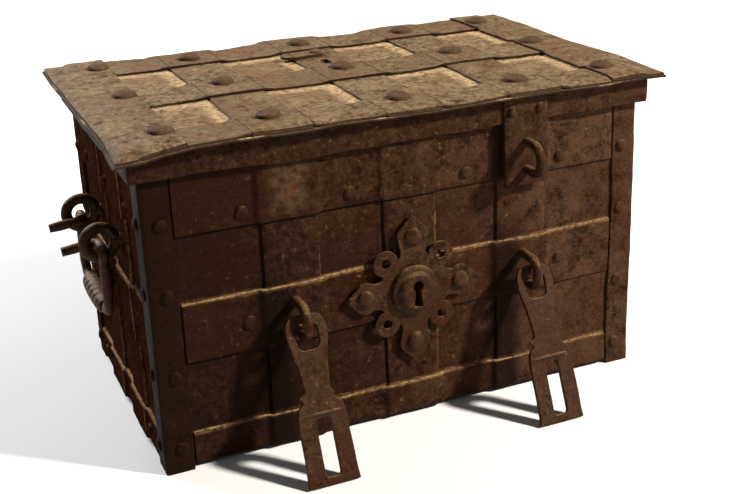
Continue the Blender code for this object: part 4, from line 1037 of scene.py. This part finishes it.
# %% [markdown]
# ## The skirt
# The skirt is one band bent round the four sides, so its section is carried round a rounded rectangle and the
# two ends meet. Four straps would show seams at the corners. Its lower edge is the most ragged line on the
# box, with one deeper dip left of the middle.
# %% Path round the box
def round_the_box(half_x, half_y, radius, step):
    """Points and outward directions along a rectangle with round corners."""
    points, facing = [], []
    for turn, (x, y) in enumerate([(1, -1), (1, 1), (-1, 1), (-1, -1)]):
        centre = np.array([x * (half_x - radius), y * (half_y - radius)])
        for angle in np.radians(np.linspace(-90, 0, 5) + 90 * turn):
            facing.append((math.cos(angle), math.sin(angle)))
            points.append(centre + radius * np.array(facing[-1]))
        length = 2 * (half_y - radius) if turn % 2 == 0 else 2 * (half_x - radius)
        onward = np.array([-facing[-1][1], facing[-1][0]])
        steps = round(length / step)
        start = points[-1]
        for count in range(1, steps):
            points.append(start + onward * length * count / steps)
            facing.append(facing[-1])
    return np.array(points), np.array(facing)


path, facing = round_the_box(skirt_high[0], skirt_high[1], 0.004, 0.0065)
print(f"{len(path)} places round the box")

# %% Skirt
ragged_edge, marks = Ripples(51, 0.055), Ripples(52, 0.028)
DIP = (0.004, -0.13, 0.03)      # depth, place and width of the dip
outer = [(0, share) for share in np.linspace(0.02, 0.98, 7)]
inner = [(1, 1), (1, 0)]
rings = []
for spot, direction in zip(path, facing):
    here = np.array([[*spot, skirt_low[2]]])
    dip = DIP[0] * math.exp(-(((spot[0] - DIP[1]) / DIP[2]) ** 2)) if spot[1] < 0 else 0
    low_edge = skirt_low[2] + 0.0013 * (1 + ragged_edge(here)[0]) - dip
    ring = []
    for depth, share in outer + inner:
        height = low_edge + (skirt_high[2] - low_edge) * share
        set_in = depth * STRAP_T + (WORN * 0.6 if (depth, share) in (outer[0], outer[-1]) else 0)
        place = np.array([*(spot - direction * set_in), height])
        if depth == 0:
            place[:2] -= direction * HAMMERED * 1.5 * (1 + marks(place[None])[0])
        ring.append(place)
    rings.append(ring)
work = Work()
work.skin(rings, closed=True)
piece_from("lid_skirt_forged", work, "lid", skirt_iron, ["lid_skirt"], settle_lid)
print(f"skirt of {len(rings)} rings")

# %% [markdown]
# ## Straps on the lid
# Three straps run front to back, three bands cross over them, and an end strap holds the bands' ends down.
# An end strap lies on the bands along its inner part only, so it steps down again towards the lid's end. The
# same helper forges them, with longer ramps: thin sheet on a lid was dressed down more softly than the walls.
# %% Lid straps
lid = {"body": "lid", "shape": settle_lid, "heads": LID_RIVET}
FLAT = 0.0020           # the straps are hammered thinner where the bands cross them
for number, node in enumerate(lid_straps):
    strap(node, "y", "+z", lid_iron, "lid_iron", seed=80 + number, thickness=FLAT, **lid)
for number, node in enumerate(lid_bands):
    strap(node, "x", "+z", lid_iron, "lid_iron", over=lid_straps, seed=90 + number, rise=FLAT, ramp=0.016,
          **lid)
band_end = span("lid_band_front")[1][0]
for number, (node, side) in enumerate(zip(lid_ends, (-1, 1))):
    middle = (span(node)[0][0] + span(node)[1][0]) / 2
    strap(node, "y", "+z", lid_iron, "lid_iron", over=lid_bands, seed=95 + number, rise=0.0026, ramp=0.012,
          cover=lambda across, side=side, middle=middle: smooth(
              (band_end + 0.006 - side * (middle + across)) / 0.009), **lid)
print("eight straps on the lid")

# %% Later repairs
REPAIRS = ((-0.313, -0.076, 0.0062, 0.0030), (0.079, 0.150, 0.0085, 0.0032), (-0.249, -0.175, 0.0070, 0.0018))
work = Work()
for number, (x, y, radius, height) in enumerate(REPAIRS):
    top = (x, y, sheet_high[2] + FLAT + height - 0.0004)
    hammer_head(work, top, (0, 0, 1), (radius, height), 99 + number)
piece_from("lid_small_heads", work, "lid", lid_iron, (), settle_lid)
print(f"{len(REPAIRS)} small heads of later repairs")

# %% [markdown]
# ## Round bar
# Staples, rings and the handles' rods are round bar, bent hot. A bevelled curve would be perfectly even. Here
# a ring of points is carried along the bent path, and its radius changes a little on the way, as forged bar's
# does.
# %% Bend a path
def bend(corners, radii, steps=6):
    """A path with its inner corners rounded."""
    corners = [np.array(corner, float) for corner in corners]
    path = [corners[0]]
    for before, corner, after, radius in zip(corners, corners[1:], corners[2:], radii):
        into, out = before - corner, after - corner
        into, out = into / np.linalg.norm(into), out / np.linalg.norm(out)
        half = math.acos(np.clip(into @ out, -1, 1)) / 2
        reach = radius / math.tan(half)
        centre = corner + (into + out) / np.linalg.norm(into + out) * radius / math.sin(half)
        first, last = corner + into * reach - centre, corner + out * reach - centre
        sweep = math.pi - 2 * half
        for share in np.linspace(0, 1, steps + 1):
            path.append(centre + (first * math.sin((1 - share) * sweep) + last * math.sin(share * sweep))
                        / math.sin(sweep))
    return np.array(path + [corners[-1]])


def even(path, step):
    """The same path with points at even steps."""
    lengths = np.concatenate([[0], np.cumsum(np.linalg.norm(np.diff(path, axis=0), axis=1))])
    marks = np.linspace(0, lengths[-1], max(2, round(lengths[-1] / step)) + 1)
    return np.column_stack([np.interp(marks, lengths, path[:, axis]) for axis in range(3)])


print("bars can be bent")


# %% Draw a bar
def draw_bar(work, path, radius, seed=1, sides=14, closed=False, rough=0.05, taper=None):
    """A round bar along a path."""
    path = np.asarray(path, float)
    if closed:
        forward = np.roll(path, -1, axis=0) - np.roll(path, 1, axis=0)
    else:
        forward = np.gradient(path, axis=0)
    forward /= np.linalg.norm(forward, axis=1)[:, None]
    least = np.eye(3)[np.abs(forward).max(axis=0).argmin()]
    turn = np.linspace(0, 2 * math.pi, sides, endpoint=False)
    worn = Ripples(seed, 0.03)
    rings = []
    for number, (place, ahead) in enumerate(zip(path, forward)):
        across = np.cross(ahead, least)
        across /= np.linalg.norm(across)
        up = np.cross(across, ahead)
        around = np.cos(turn)[:, None] * across + np.sin(turn)[:, None] * up
        share = 1 if taper is None else taper(number / (len(path) - 1))
        size = radius * share * (1 - rough * (1 + worn(place + around * radius)))
        rings.append(place + around * size[:, None])
    work.skin(rings, closed)


print("bars can be drawn")

# %% [markdown]
# ## Staples
# Two staples on the front carry the hasps. The third stands on a tab that hangs from the lid's skirt, and a
# padlock held the hasp there. Its mate's tab broke off long ago. Each is a U of round bar: two corners with a
# radius so large that they meet in a half circle.
# %% Hasp staples
STAPLE_BAR = 0.0059
STAPLE_HALF = 0.0225 - STAPLE_BAR


def staple_path(x, wall, level, reach):
    out = reach - STAPLE_BAR
    corners = [
        (x, wall, level + STAPLE_HALF), (x, wall - out, level + STAPLE_HALF),
        (x, wall - out, level - STAPLE_HALF), (x, wall, level - STAPLE_HALF),
    ]
    return even(bend(corners, (STAPLE_HALF * 0.95, STAPLE_HALF * 0.95), 9), 0.0032)


hasp_places = {}
for number, hand in enumerate(("left", "right")):
    node = f"hasp_staple_{hand}"
    low, high = span(node)
    x, level = (low[0] + high[0]) / 2, (low[2] + high[2]) / 2
    hasp_places[hand] = x, level
    work = Work()
    draw_bar(work, staple_path(x, high[1] + 0.0015, level, high[1] + 0.0015 - low[1]), STAPLE_BAR,
             seed=200 + number)
    piece_from(f"{node}_forged", work, "chest", fitting_iron, [node])
print("hasp staples at", {hand: round(1000 * place[0]) for hand, place in hasp_places.items()})

# %% The lid's tab
low, high = span("lid_tab")
tab_x, tab_face = (low[0] + high[0]) / 2, skirt_low[1] - GAP - STRAP_T
work = Work()
forge_strap(
    work, np.array([tab_x, tab_face + STRAP_T, (low[2] + high[2]) / 2]), (0, 0, 1), (1, 0, 0), (0, -1, 0),
    ((low[2] - high[2]) / 2, (high[2] - low[2]) / 2 - 0.003), high[0] - low[0], seed=210,
)
TAB_LEVEL = 0.2945
draw_bar(work, staple_path(tab_x, tab_face + 0.001, TAB_LEVEL, tab_face + 0.001 - low[1]), STAPLE_BAR,
         seed=211)
for number, side in enumerate((-1, 1)):
    top = (tab_x + side * 0.018, tab_face - 0.0035, high[2] - 0.017)
    hammer_head(work, top, (0, -1, 0), (0.006, 0.0035), 215 + number)
piece_from("lid_tab_forged", work, "lid", skirt_iron, ["lid_tab"], settle_lid)
print(f"tab at {1000 * tab_x:.0f} mm")

# %% [markdown]
# ## Cut and filed plates
# The false lock plate and the hasps were cut from plate and their edges filed. Such a piece is an outline
# with thickness. Booleans could cut its holes, but a filled flat curve makes outline, holes and a small bevel
# at once, and its mesh is kept.
# %% Soften an outline
def soften(corners, rounds=2):
    """A closed outline with its corners cut again and again until they are round."""
    points = np.array(corners, float)
    for _ in range(rounds):
        onward = np.roll(points, -1, axis=0)
        quarter, rest = points * 0.75 + onward * 0.25, points * 0.25 + onward * 0.75
        points = np.stack([quarter, rest], 1).reshape(-1, 2)
    return points


def arc(centre, radius, start, end, steps):
    return [
        (centre[0] + radius * math.cos(angle), centre[1] + radius * math.sin(angle))
        for angle in np.radians(np.linspace(start, end, steps + 1))
    ]


print(f"a square softens to {len(soften([(0, 0), (1, 0), (1, 1), (0, 1)]))} corners")


# %% Cut a plate
def take_mesh(holder):
    """Points and faces of an object as it looks, after which the object is thrown away."""
    graph = bpy.context.evaluated_depsgraph_get()
    mesh = bpy.data.meshes.new_from_object(holder.evaluated_get(graph))
    points = np.empty(len(mesh.vertices) * 3)
    mesh.vertices.foreach_get("co", points)
    faces = [list(polygon.vertices) for polygon in mesh.polygons]
    bpy.data.objects.remove(holder, do_unlink=True)
    bpy.data.meshes.remove(mesh)
    return points.reshape(-1, 3), faces


def cut_plate(outlines, thickness, bevel=0.0008):
    """Points and faces of a flat piece in its own plane, centred on its thickness."""
    curve = bpy.data.curves.new("outline", "CURVE")
    curve.dimensions, curve.fill_mode = "2D", "BOTH"
    curve.extrude, curve.bevel_depth, curve.offset = thickness / 2 - bevel, bevel, -bevel
    curve.bevel_resolution = 1
    for outline in outlines:
        spline = curve.splines.new("POLY")
        spline.points.add(len(outline) - 1)
        for point, (u, v) in zip(spline.points, outline):
            point.co = (u, v, 0, 1)
        spline.use_cyclic_u = True
    holder = bpy.data.objects.new("outline", curve)
    bpy.context.scene.collection.objects.link(holder)
    return take_mesh(holder)


print("plates can be cut")

# %% [markdown]
# ## The false lock plate
# A four-armed plate with a domed boss and a keyhole sits on the front. No lock is behind it: it was there to
# deceive a thief. Each arm ends in a point and has one rivet, and a pierced lobe fills each corner between.
# Half of one arm is drawn, mirrored and turned four times, so all arms match as a smith's pattern made them.
# %% Outline of the false lock plate
plate_low, plate_high = span("escutcheon_plate")
plate_middle = (plate_low[2] + plate_high[2]) / 2
plate_back = plate_high[1]
plate_face = plate_back - STRAP_T
ARM_UP, ARM_SIDE = plate_high[2] - plate_middle, plate_high[0]
LOBES = (0.034, 0.037)
BOSS = (0.030, 0.012)
KEYHOLE_RISE = 0.008


def arm(reach):
    """Half of one arm, from its point towards the boss, as (along, across)."""
    return [(reach, 0.0), (reach - 0.0012, 0.0012), (reach - 0.018, 0.0180), (reach - 0.021, 0.0195),
            (reach - 0.026, 0.0195), (0.050, 0.0160), (0.043, 0.0160), (0.037, 0.022), (0.033, 0.033)]


cross = []
for turn in range(4):
    cos, sin = round(math.cos(turn * math.pi / 2)), round(math.sin(turn * math.pi / 2))
    half = arm(ARM_UP if turn % 2 else ARM_SIDE)
    whole = [(along, -across) for along, across in half[:0:-1]] + half[:-1]
    cross += [(along * cos - across * sin, along * sin + across * cos) for along, across in whole]


def keyhole(level):
    """A round head with a skirt that widens downwards."""
    head = arc((0, level), 0.0065, -58, 238, 18)
    foot = [(-0.0056, level - 0.026), (0.0056, level - 0.026)]
    return head + [(-0.0036, level - 0.0080)] + foot + [(0.0036, level - 0.0080)]


print(f"{len(cross)} corners on the plate's outline")


# %% Make the false lock plate
def stand_up(points, x, y, z):
    """From (across, up, out) to a place on the front."""
    return np.column_stack([x + points[:, 0], y - points[:, 2], z + points[:, 1]])


work = Work()
ripple = Ripples(230, 0.03)
outline = soften(cross, 2)
outline *= (1 - 0.010 * (1 + ripple(np.column_stack([outline, outline[:, :1] * 0]))))[:, None]
points, faces = cut_plate([outline, keyhole(KEYHOLE_RISE)], STRAP_T)
work.add(stand_up(points, 0, (plate_back + plate_face) / 2, plate_middle), faces)
for side_x in (-1, 1):
    for side_z in (-1, 1):
        spot = side_x * LOBES[0], side_z * LOBES[1]
        rim, hole = arc(spot, 0.0155, 0, 351, 39), arc(spot, 0.0054, 0, 345, 23)
        points, faces = cut_plate([rim, hole], STRAP_T - 0.0003, 0.0006)
        work.add(stand_up(points, 0, (plate_back + plate_face) / 2, plate_middle), faces)
for number, (across, up) in enumerate([(0, 0.064), (0, -0.064), (0.059, 0), (-0.059, 0)]):
    top = (across, plate_face - 0.0068, plate_middle + up)
    hammer_head(work, top, (0, -1, 0), (0.0108, 0.0068), 235 + number)
hammer_head(work, (-0.0775, plate_face - 0.0022, plate_middle + 0.001), (0, -1, 0), (0.0045, 0.0022), 240)
print(f"plate with lobes and five heads: {work.count} points")

# %% [markdown]
# ## The boss
# The boss is a low drum with a raised rim, turned round the keyhole's middle. Its dome can't be cut as a flat
# outline, so a Boolean cuts the keyhole, and its result is kept as plain mesh.
# %% Cut one solid from another
BOSS_PROFILE = (
    (1.00, -0.10), (1.00, 0.26), (0.97, 0.44), (0.90, 0.55), (0.82, 0.57), (0.78, 0.66), (0.74, 0.84),
    (0.66, 0.96), (0.56, 1.00), (0.42, 0.97), (0.22, 0.95),
)


def holder_from(points, faces):
    mesh = bpy.data.meshes.new("holder")
    mesh.from_pydata(np.asarray(points).tolist(), [], faces)
    bm = bmesh.new()
    bm.from_mesh(mesh)
    bmesh.ops.recalc_face_normals(bm, faces=bm.faces)
    bm.to_mesh(mesh)
    bm.free()
    holder = bpy.data.objects.new("holder", mesh)
    bpy.context.scene.collection.objects.link(holder)
    return holder


def cut_away(points, faces, tool_points, tool_faces):
    """What is left of one solid when another is cut from it."""
    holder, tool = holder_from(points, faces), holder_from(tool_points, tool_faces)
    cut = holder.modifiers.new("cut", "BOOLEAN")
    cut.operation, cut.solver, cut.object = "DIFFERENCE", "EXACT", tool
    left = take_mesh(holder)
    bpy.data.objects.remove(tool, do_unlink=True)
    return left


print("solids can be cut")

# %% Boss with its keyhole
turn = np.linspace(0, 2 * math.pi, 48, endpoint=False)
oval = 1 - 0.012 * (1 + np.sin(2 * turn + 1) + 0.5 * np.sin(5 * turn))
rim = BOSS[0] * oval * np.array([np.cos(turn), np.sin(turn)])
boss = Work()
boss.skin([
    np.column_stack([*(rim * share), np.full(48, BOSS[1] * height)]) for share, height in BOSS_PROFILE
])
points, faces = cut_plate([keyhole(KEYHOLE_RISE)], 4 * BOSS[1], 0.0001)
points, faces = cut_away(boss.all_points(), boss.faces, points, faces)
work.add(stand_up(points, 0, plate_face, plate_middle), faces)
escutcheon = piece_from(
    "false_lock_plate", work, "chest", fitting_iron, ["escutcheon_plate"], sharp=30
)
print(f"false lock plate: {len(escutcheon.data.vertices)} points")

# %% [markdown]
# ## The keyhole that works
# The lock is opened through the lid. Its keyhole goes through the middle strap and the sheet, inside a low
# worn collar. A dark patch would do from afar, but the cover turns away and the hole is looked into, so it is
# cut from both finished pieces.
# %% Cut the lid's keyhole
def pierce(piece, points, faces):
    """Cuts a solid from a finished piece and keeps its finish and its marks."""
    tool = holder_from(points, faces)
    cut = piece.modifiers.new("cut", "BOOLEAN")
    cut.operation, cut.solver, cut.object = "DIFFERENCE", "EXACT", tool
    graph = bpy.context.evaluated_depsgraph_get()
    left = bpy.data.meshes.new_from_object(piece.evaluated_get(graph))
    piece.modifiers.clear()
    piece.data = left
    bpy.data.objects.remove(tool, do_unlink=True)


key_way = np.array([0.0, 0.062])
KEY_R = 0.0055
slot_hole = []
for angle in np.linspace(0, 2 * math.pi, 24, endpoint=False):
    end = KEY_R if angle < math.pi else -KEY_R
    slot_hole.append(key_way + (KEY_R * math.cos(angle), KEY_R * math.sin(angle) + end))
points, faces = cut_plate([slot_hole], 0.03, 0.0001)
for node in ("lid_sheet", "lid_strap_centre"):
    pierce(bpy.data.objects[f"{node}_forged"], points + (0, 0, sheet_high[2]), faces)
work = Work()
oval = np.array([(*(key_way + (0.0088 * math.cos(angle), 0.0135 * math.sin(angle))), sheet_high[2] + 0.0006)
                 for angle in np.linspace(0, 2 * math.pi, 40, endpoint=False)])
draw_bar(work, oval, 0.0026, seed=300, closed=True, rough=0.12)
piece_from("keyhole_collar", work, "lid", lid_iron, (), settle_lid)
print("keyhole cut")

# %% [markdown]
# ## Hasps
# Each hasp hangs from its staple by an eye, narrows to a waist, then widens to a toe with a long slot that
# went over the lid's staple. They lean forward and stand on the floor by their toes. The outline is drawn
# flat, as the smith marked it on the plate, then cut and turned to its lean.
# %% Outline of a hasp
HASP_T = 0.005
HASP_BAR = 0.005
lean = math.radians(23.65)
wall_band_face = front_face - 2 * (STRAP_T + GAP)
hasp_pivot_y = wall_band_face - 0.0235
hasp_pivot_z = hasp_places["left"][1] + 0.0035
hasp_length = (hasp_pivot_z - floor_level - HASP_T / 2 * math.sin(lean)) / math.cos(lean)
waist, shoulder = hasp_length - 0.1025, hasp_length - 0.0845
slot = hasp_length - 0.0735, hasp_length - 0.0095
print(f"a hasp is {1000 * hasp_length:.0f} mm long")


def hasp_outline(skew):
    """(across, down) outline of a hasp. skew moves the toe's corners."""
    right = [
        (0.0145, -0.0050), (0.0215, 0.0010), (0.0240, 0.0100), (0.0240, 0.0190), (0.0215, 0.0300),
        (0.0195, 0.0420), (0.0180, 0.0480), (0.0160, waist - 0.014), (0.0150, waist - 0.004),
        (0.0160, waist + 0.002), (0.0190, waist + 0.005), (0.0175, waist + 0.010),
        (0.0240, shoulder - 0.003), (0.0272, shoulder + 0.002), (0.0282, shoulder + 0.020),
        (0.0294 - skew, hasp_length - 0.010), (0.0300 - skew, hasp_length - 0.0008),
        (0.0290 - skew, hasp_length),
    ]
    left = [(-x, s) for x, s in reversed(right)]
    left[0], left[1] = (-0.0290, hasp_length - 0.0004), (-0.0298, hasp_length - 0.0016)
    left[7] = (-0.0250, waist + 0.0050)
    return right + left


# %% Holes with round corners
def rounded_box(low_x, high_x, low_s, high_s, radius):
    corners = [(high_x, high_s, 0), (low_x, high_s, 90), (low_x, low_s, 180), (high_x, low_s, 270)]
    points = []
    for x, s, start in corners:
        centre = (x - radius * (1 if x == high_x else -1), s - radius * (1 if s == high_s else -1))
        points += arc(centre, radius, start, start + 90, 4)
    return points


print(f"{len(rounded_box(-1, 1, -1, 1, 0.2))} corners on a hole")

# %% Make the hasps
down = np.array([0, -math.sin(lean), -math.cos(lean)])
outward = np.array([0, -math.cos(lean), math.sin(lean)])
for number, (hand, skew) in enumerate((("left", 0.0), ("right", 0.0015))):
    x = hasp_places[hand][0]
    pivot = np.array([x, hasp_pivot_y, hasp_pivot_z])
    wander = Ripples(250 + number, 0.03)
    outside = soften(hasp_outline(skew), 2)
    outside[:, 0] *= 1 - 0.018 * (1 + wander(np.column_stack([outside, outside[:, :1] * 0])))
    eye = rounded_box(-0.0130, 0.0130, HASP_BAR, HASP_BAR + 0.029, 0.0085)
    opening = rounded_box(-0.0085, 0.0085, *slot, 0.0040)
    points, faces = cut_plate([outside, eye, opening], HASP_T, 0.0011)
    work = Work()
    thick = np.minimum(1 + 0.10 * wander(points), 1.0)[:, None] * points[:, 2:]
    placed = pivot + points[:, :1] * (1, 0, 0) + points[:, 1:2] * down + thick * outward
    work.add(np.maximum(placed, np.array(cad_low) + 0.0002), faces)
    ridge = pivot + down * (slot[0] - 0.0035) + outward * (HASP_T / 2 - 0.0011)
    path = [ridge + np.array([across, 0, 0]) for across in np.linspace(-0.024, 0.024, 13)]
    draw_bar(work, path, 0.0030, seed=255 + number, sides=10,
             taper=lambda share: 0.35 + 0.65 * math.sin(math.pi * share) ** 0.5)
    node = f"hasp_{hand}"
    piece_from(f"{node}_forged", work, node, fitting_iron, [node], sharp=32)
print("two hasps")

# %% [markdown]
# ## Carrying handles
# A handle hangs in two rings on each side. Its rod turns inwards above each ring, where a stub stops the
# handle against the wall, and its grip is swaged thicker with diagonal grooves so that a wet hand holds it.
# The grooves are a twisted wave on the grip's radius. A bump in the finish would not show on its outline.
# %% Rings
RING = (0.017, 0.006)
turn = np.linspace(0, 2 * math.pi, 36, endpoint=False)
for number, (hand, side) in enumerate((("left", -1), ("right", 1))):
    for place, label in enumerate(("front", "rear")):
        node = f"handle_eye_{hand}_{label}"
        low, high = span(node)
        centre = (low + high) / 2
        centre[0] = (low[0] if side < 0 else high[0]) - side * (RING[0] + RING[1])
        circle = centre + np.column_stack([RING[0] * np.cos(turn), 0 * turn, RING[0] * np.sin(turn)])
        work = Work()
        draw_bar(
            work, circle, RING[1] + 0.0007, seed=270 + 2 * number + place, sides=16, closed=True, rough=0.04
        )
        foot = [centre - side * np.array([reach, 0, 0]) for reach in np.linspace(0.015, 0.0265, 6)]
        draw_bar(work, foot, RING[1] * 1.25, seed=280 + number, sides=14)
        piece_from(f"{node}_forged", work, "chest", fitting_iron, [node])
print("four rings")

# %% Handles
def keep_inside(places):
    return np.clip(places, np.array(cad_low), np.array(cad_high))


HANDLE_BAR = 0.0055
GRIP = (0.0118, 0.092, 0.076)       # radius, length and drop below the rings
for number, (hand, side) in enumerate((("left", -1), ("right", 1))):
    node = f"handle_{hand}"
    low, high = span(node)
    eyes = [span(f"handle_eye_{hand}_{label}") for label in ("front", "rear")]
    ys = [(eye_low[1] + eye_high[1]) / 2 for eye_low, eye_high in eyes]
    level = (eyes[0][0][2] + eyes[0][1][2]) / 2 - (RING[0] - RING[1] - HANDLE_BAR - 0.001)
    x = (eyes[0][0][0] if side < 0 else eyes[0][1][0]) - side * (RING[0] + RING[1])
    half = (ys[1] - ys[0]) / 2
    arm_y, stub_y = half + RING[1] + 0.002 + HANDLE_BAR, half - RING[1] - 0.002 - HANDLE_BAR
    middle = np.array([x, (ys[0] + ys[1]) / 2, level])
    corners = [
        (0.040, stub_y, -0.004), (0, stub_y, 0), (0, arm_y, 0), (0, arm_y, -GRIP[2]), (0, -arm_y, -GRIP[2]),
        (0, -arm_y, 0), (0, -stub_y, 0), (0.040, -stub_y, -0.004),
    ]
    tight = HANDLE_BAR * 1.4
    path = bend(corners, (tight, tight, 0.014, 0.014, tight, tight))
    path = even(path * (side, 1, 1) + middle, 0.0035)
    work = Work()
    draw_bar(work, path, HANDLE_BAR + 0.0005, seed=290 + number, sides=16,
             taper=lambda share: 1 - 0.12 * smooth(np.abs(share - 0.5) * 22 - 10.2))
    runs, turn = np.linspace(-0.5, 0.5, 61), np.linspace(0, 2 * math.pi, 40, endpoint=False)
    rings = []
    for run in runs:
        swell = 0.60 + 0.40 * math.sqrt(max(0.0, 1 - (abs(run) / 0.5) ** 3.0))
        twist = np.sin(2 * turn - run * 42)
        groove = 1 - 0.10 * smooth(-twist * 1.6 - 0.5) * (1 - smooth((abs(run) - 0.40) / 0.08))
        reach = GRIP[0] * swell * groove
        rings.append(middle + np.column_stack([
            reach * np.cos(turn), np.full(40, GRIP[1] * run), reach * np.sin(turn) - GRIP[2]
        ]))
    work.skin(rings)
    piece_from(f"{node}_forged", work, node, fitting_iron, [node], keep_inside)
print("two handles")

# %% [markdown]
# ## Hinges, the keyhole's cover and the lock
# The hinges' leaves and knuckles, and the bolts under the lid, are already right in the frame. Making them
# again would only risk a bolt that misses its guide. They keep the frame's shapes and get worn edges and a
# finish.
# %% Pieces that keep their frame shape
def wear(node, finish, width=0.0006):
    kept = frame["nodes"][node]
    edge = kept.modifiers.new("worn_edge", "BEVEL")
    edge.width, edge.segments, edge.limit_method, edge.angle_limit = width, 2, "ANGLE", math.radians(40)
    kept.data.materials.clear()
    kept.data.materials.append(finish)
    kept.data.shade_smooth()
    kept.data.set_sharp_from_angle(angle=math.radians(35))


for hand in ("left", "right"):
    wear(f"hinge_body_leaf_{hand}", side_band_iron)
    wear(f"hinge_lid_leaf_{hand}", side_band_iron)
for node in ("lock_plate", "lock_driver", "bolt_left", "bolt_right", "bolt_front"):
    wear(node, lock_iron)
wear("keyhole_cover", lid_iron)
print("hinges and lock kept")

# %% [markdown]
# ## Floor, light and camera
# A plain pale floor and one strong light from the upper right, as in a studio. A weak fill keeps the left
# side darker than the front, and a lamp behind lifts the floor's shadow. The room is dim, so that the shadows
# stay deep, but what the camera sees of it is pale.
# %% Floor
floor = Work()
floor.add([(-20, -20, floor_level), (20, -20, floor_level), (20, 20, floor_level), (-20, 20, floor_level)],
          [(0, 1, 2, 3)])
mesh = bpy.data.meshes.new("floor")
mesh.from_pydata(floor.all_points().tolist(), [], floor.faces)
ground = bpy.data.objects.new("floor", mesh)
bpy.context.scene.collection.objects.link(ground)
pale = Finish("pale_floor")
paper = pale.cloud(3.0, 3)
pale.set("Base Color", pale.blend(paper, (0.69, 0.69, 0.69), (0.72, 0.72, 0.72)))
pale.set("Roughness", paper * 0.1 + 0.85)
ground.data.materials.append(pale.material)
ground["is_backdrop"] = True
print("floor laid")

# %% World and lamps
ROOM_LIGHT, ROOM_SEEN = 0.10, 0.9
world = bpy.data.worlds.new("pale_room")
world.use_nodes = True
world.node_tree.nodes.clear()
room = Nodes(world.node_tree)
dim, seen = (
    room.node("ShaderNodeBackground", {}, {"Color": (1.0, 1.0, 1.0, 1), "Strength": strength})
    for strength in (ROOM_LIGHT, ROOM_SEEN)
)
to_camera = room.node("ShaderNodeLightPath", output="Is Camera Ray")
both = room.node("ShaderNodeMixShader", {}, {0: to_camera, 1: dim, 2: seen})
room.node("ShaderNodeOutputWorld", {}, {0: both})
bpy.context.scene.world = world


def lamp(name, place, aim, size, power, colour=(1, 1, 1)):
    light = bpy.data.lights.new(name, "AREA")
    light.size, light.energy, light.color = size, power, colour
    holder = bpy.data.objects.new(name, light)
    holder.location = place
    holder.rotation_euler = (Vector(aim) - Vector(place)).to_track_quat("-Z", "Y").to_euler()
    bpy.context.scene.collection.objects.link(holder)


lamp("key", (3.70, -3.30, 3.70), (0, -0.1, 0.15), 0.50, 880, (1.0, 0.94, 0.86))
lamp("fill", (-1.9, -1.3, 0.9), (0, 0, 0.15), 1.2, 3)
lamp("back", (-1.6, 2.8, 2.4), (-0.6, 0.3, 0.1), 2.0, 250)
bpy.context.scene.view_settings.view_transform = "Standard"
print("room and three lamps")

# %% [markdown]
# ## Camera
# The camera stands a little to the left and above, and looks slightly down. Its place is worked out from
# angles round the box, which are easier to judge than a location. A small shift of the lens frames the box.
# %% Camera
azimuth, elevation, roll = (math.radians(angle) for angle in (-23.54, 19.68, -1.97))
target, distance = Vector((0.048, 0.0, 0.2022)), 1.5234
backward = Vector((math.sin(azimuth) * math.cos(elevation), -math.cos(azimuth) * math.cos(elevation),
                   math.sin(elevation)))
right = Vector((0, 0, 1)).cross(backward).normalized()
up = backward.cross(right)
tilted_right = right * math.cos(roll) + up * math.sin(roll)
tilted_up = up * math.cos(roll) - right * math.sin(roll)
lens = bpy.data.cameras.new("camera")
lens.lens, lens.sensor_width, lens.shift_x, lens.shift_y = 58.33, 36, -0.0211, -0.0676
lens.clip_start, lens.clip_end = 0.05, 60
camera = bpy.data.objects.new("camera", lens)
turned = Matrix((tilted_right, tilted_up, backward)).transposed().to_4x4()
camera.matrix_world = Matrix.Translation(target + backward * distance) @ turned
bpy.context.scene.collection.objects.link(camera)
bpy.context.scene.camera = camera
print(f"camera {distance:.2f} m from the box")

# %% [markdown]
# ## The size
# The box round everything that is shown is measured, as the frame's box was at the start.
# %% Sizes
low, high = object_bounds()
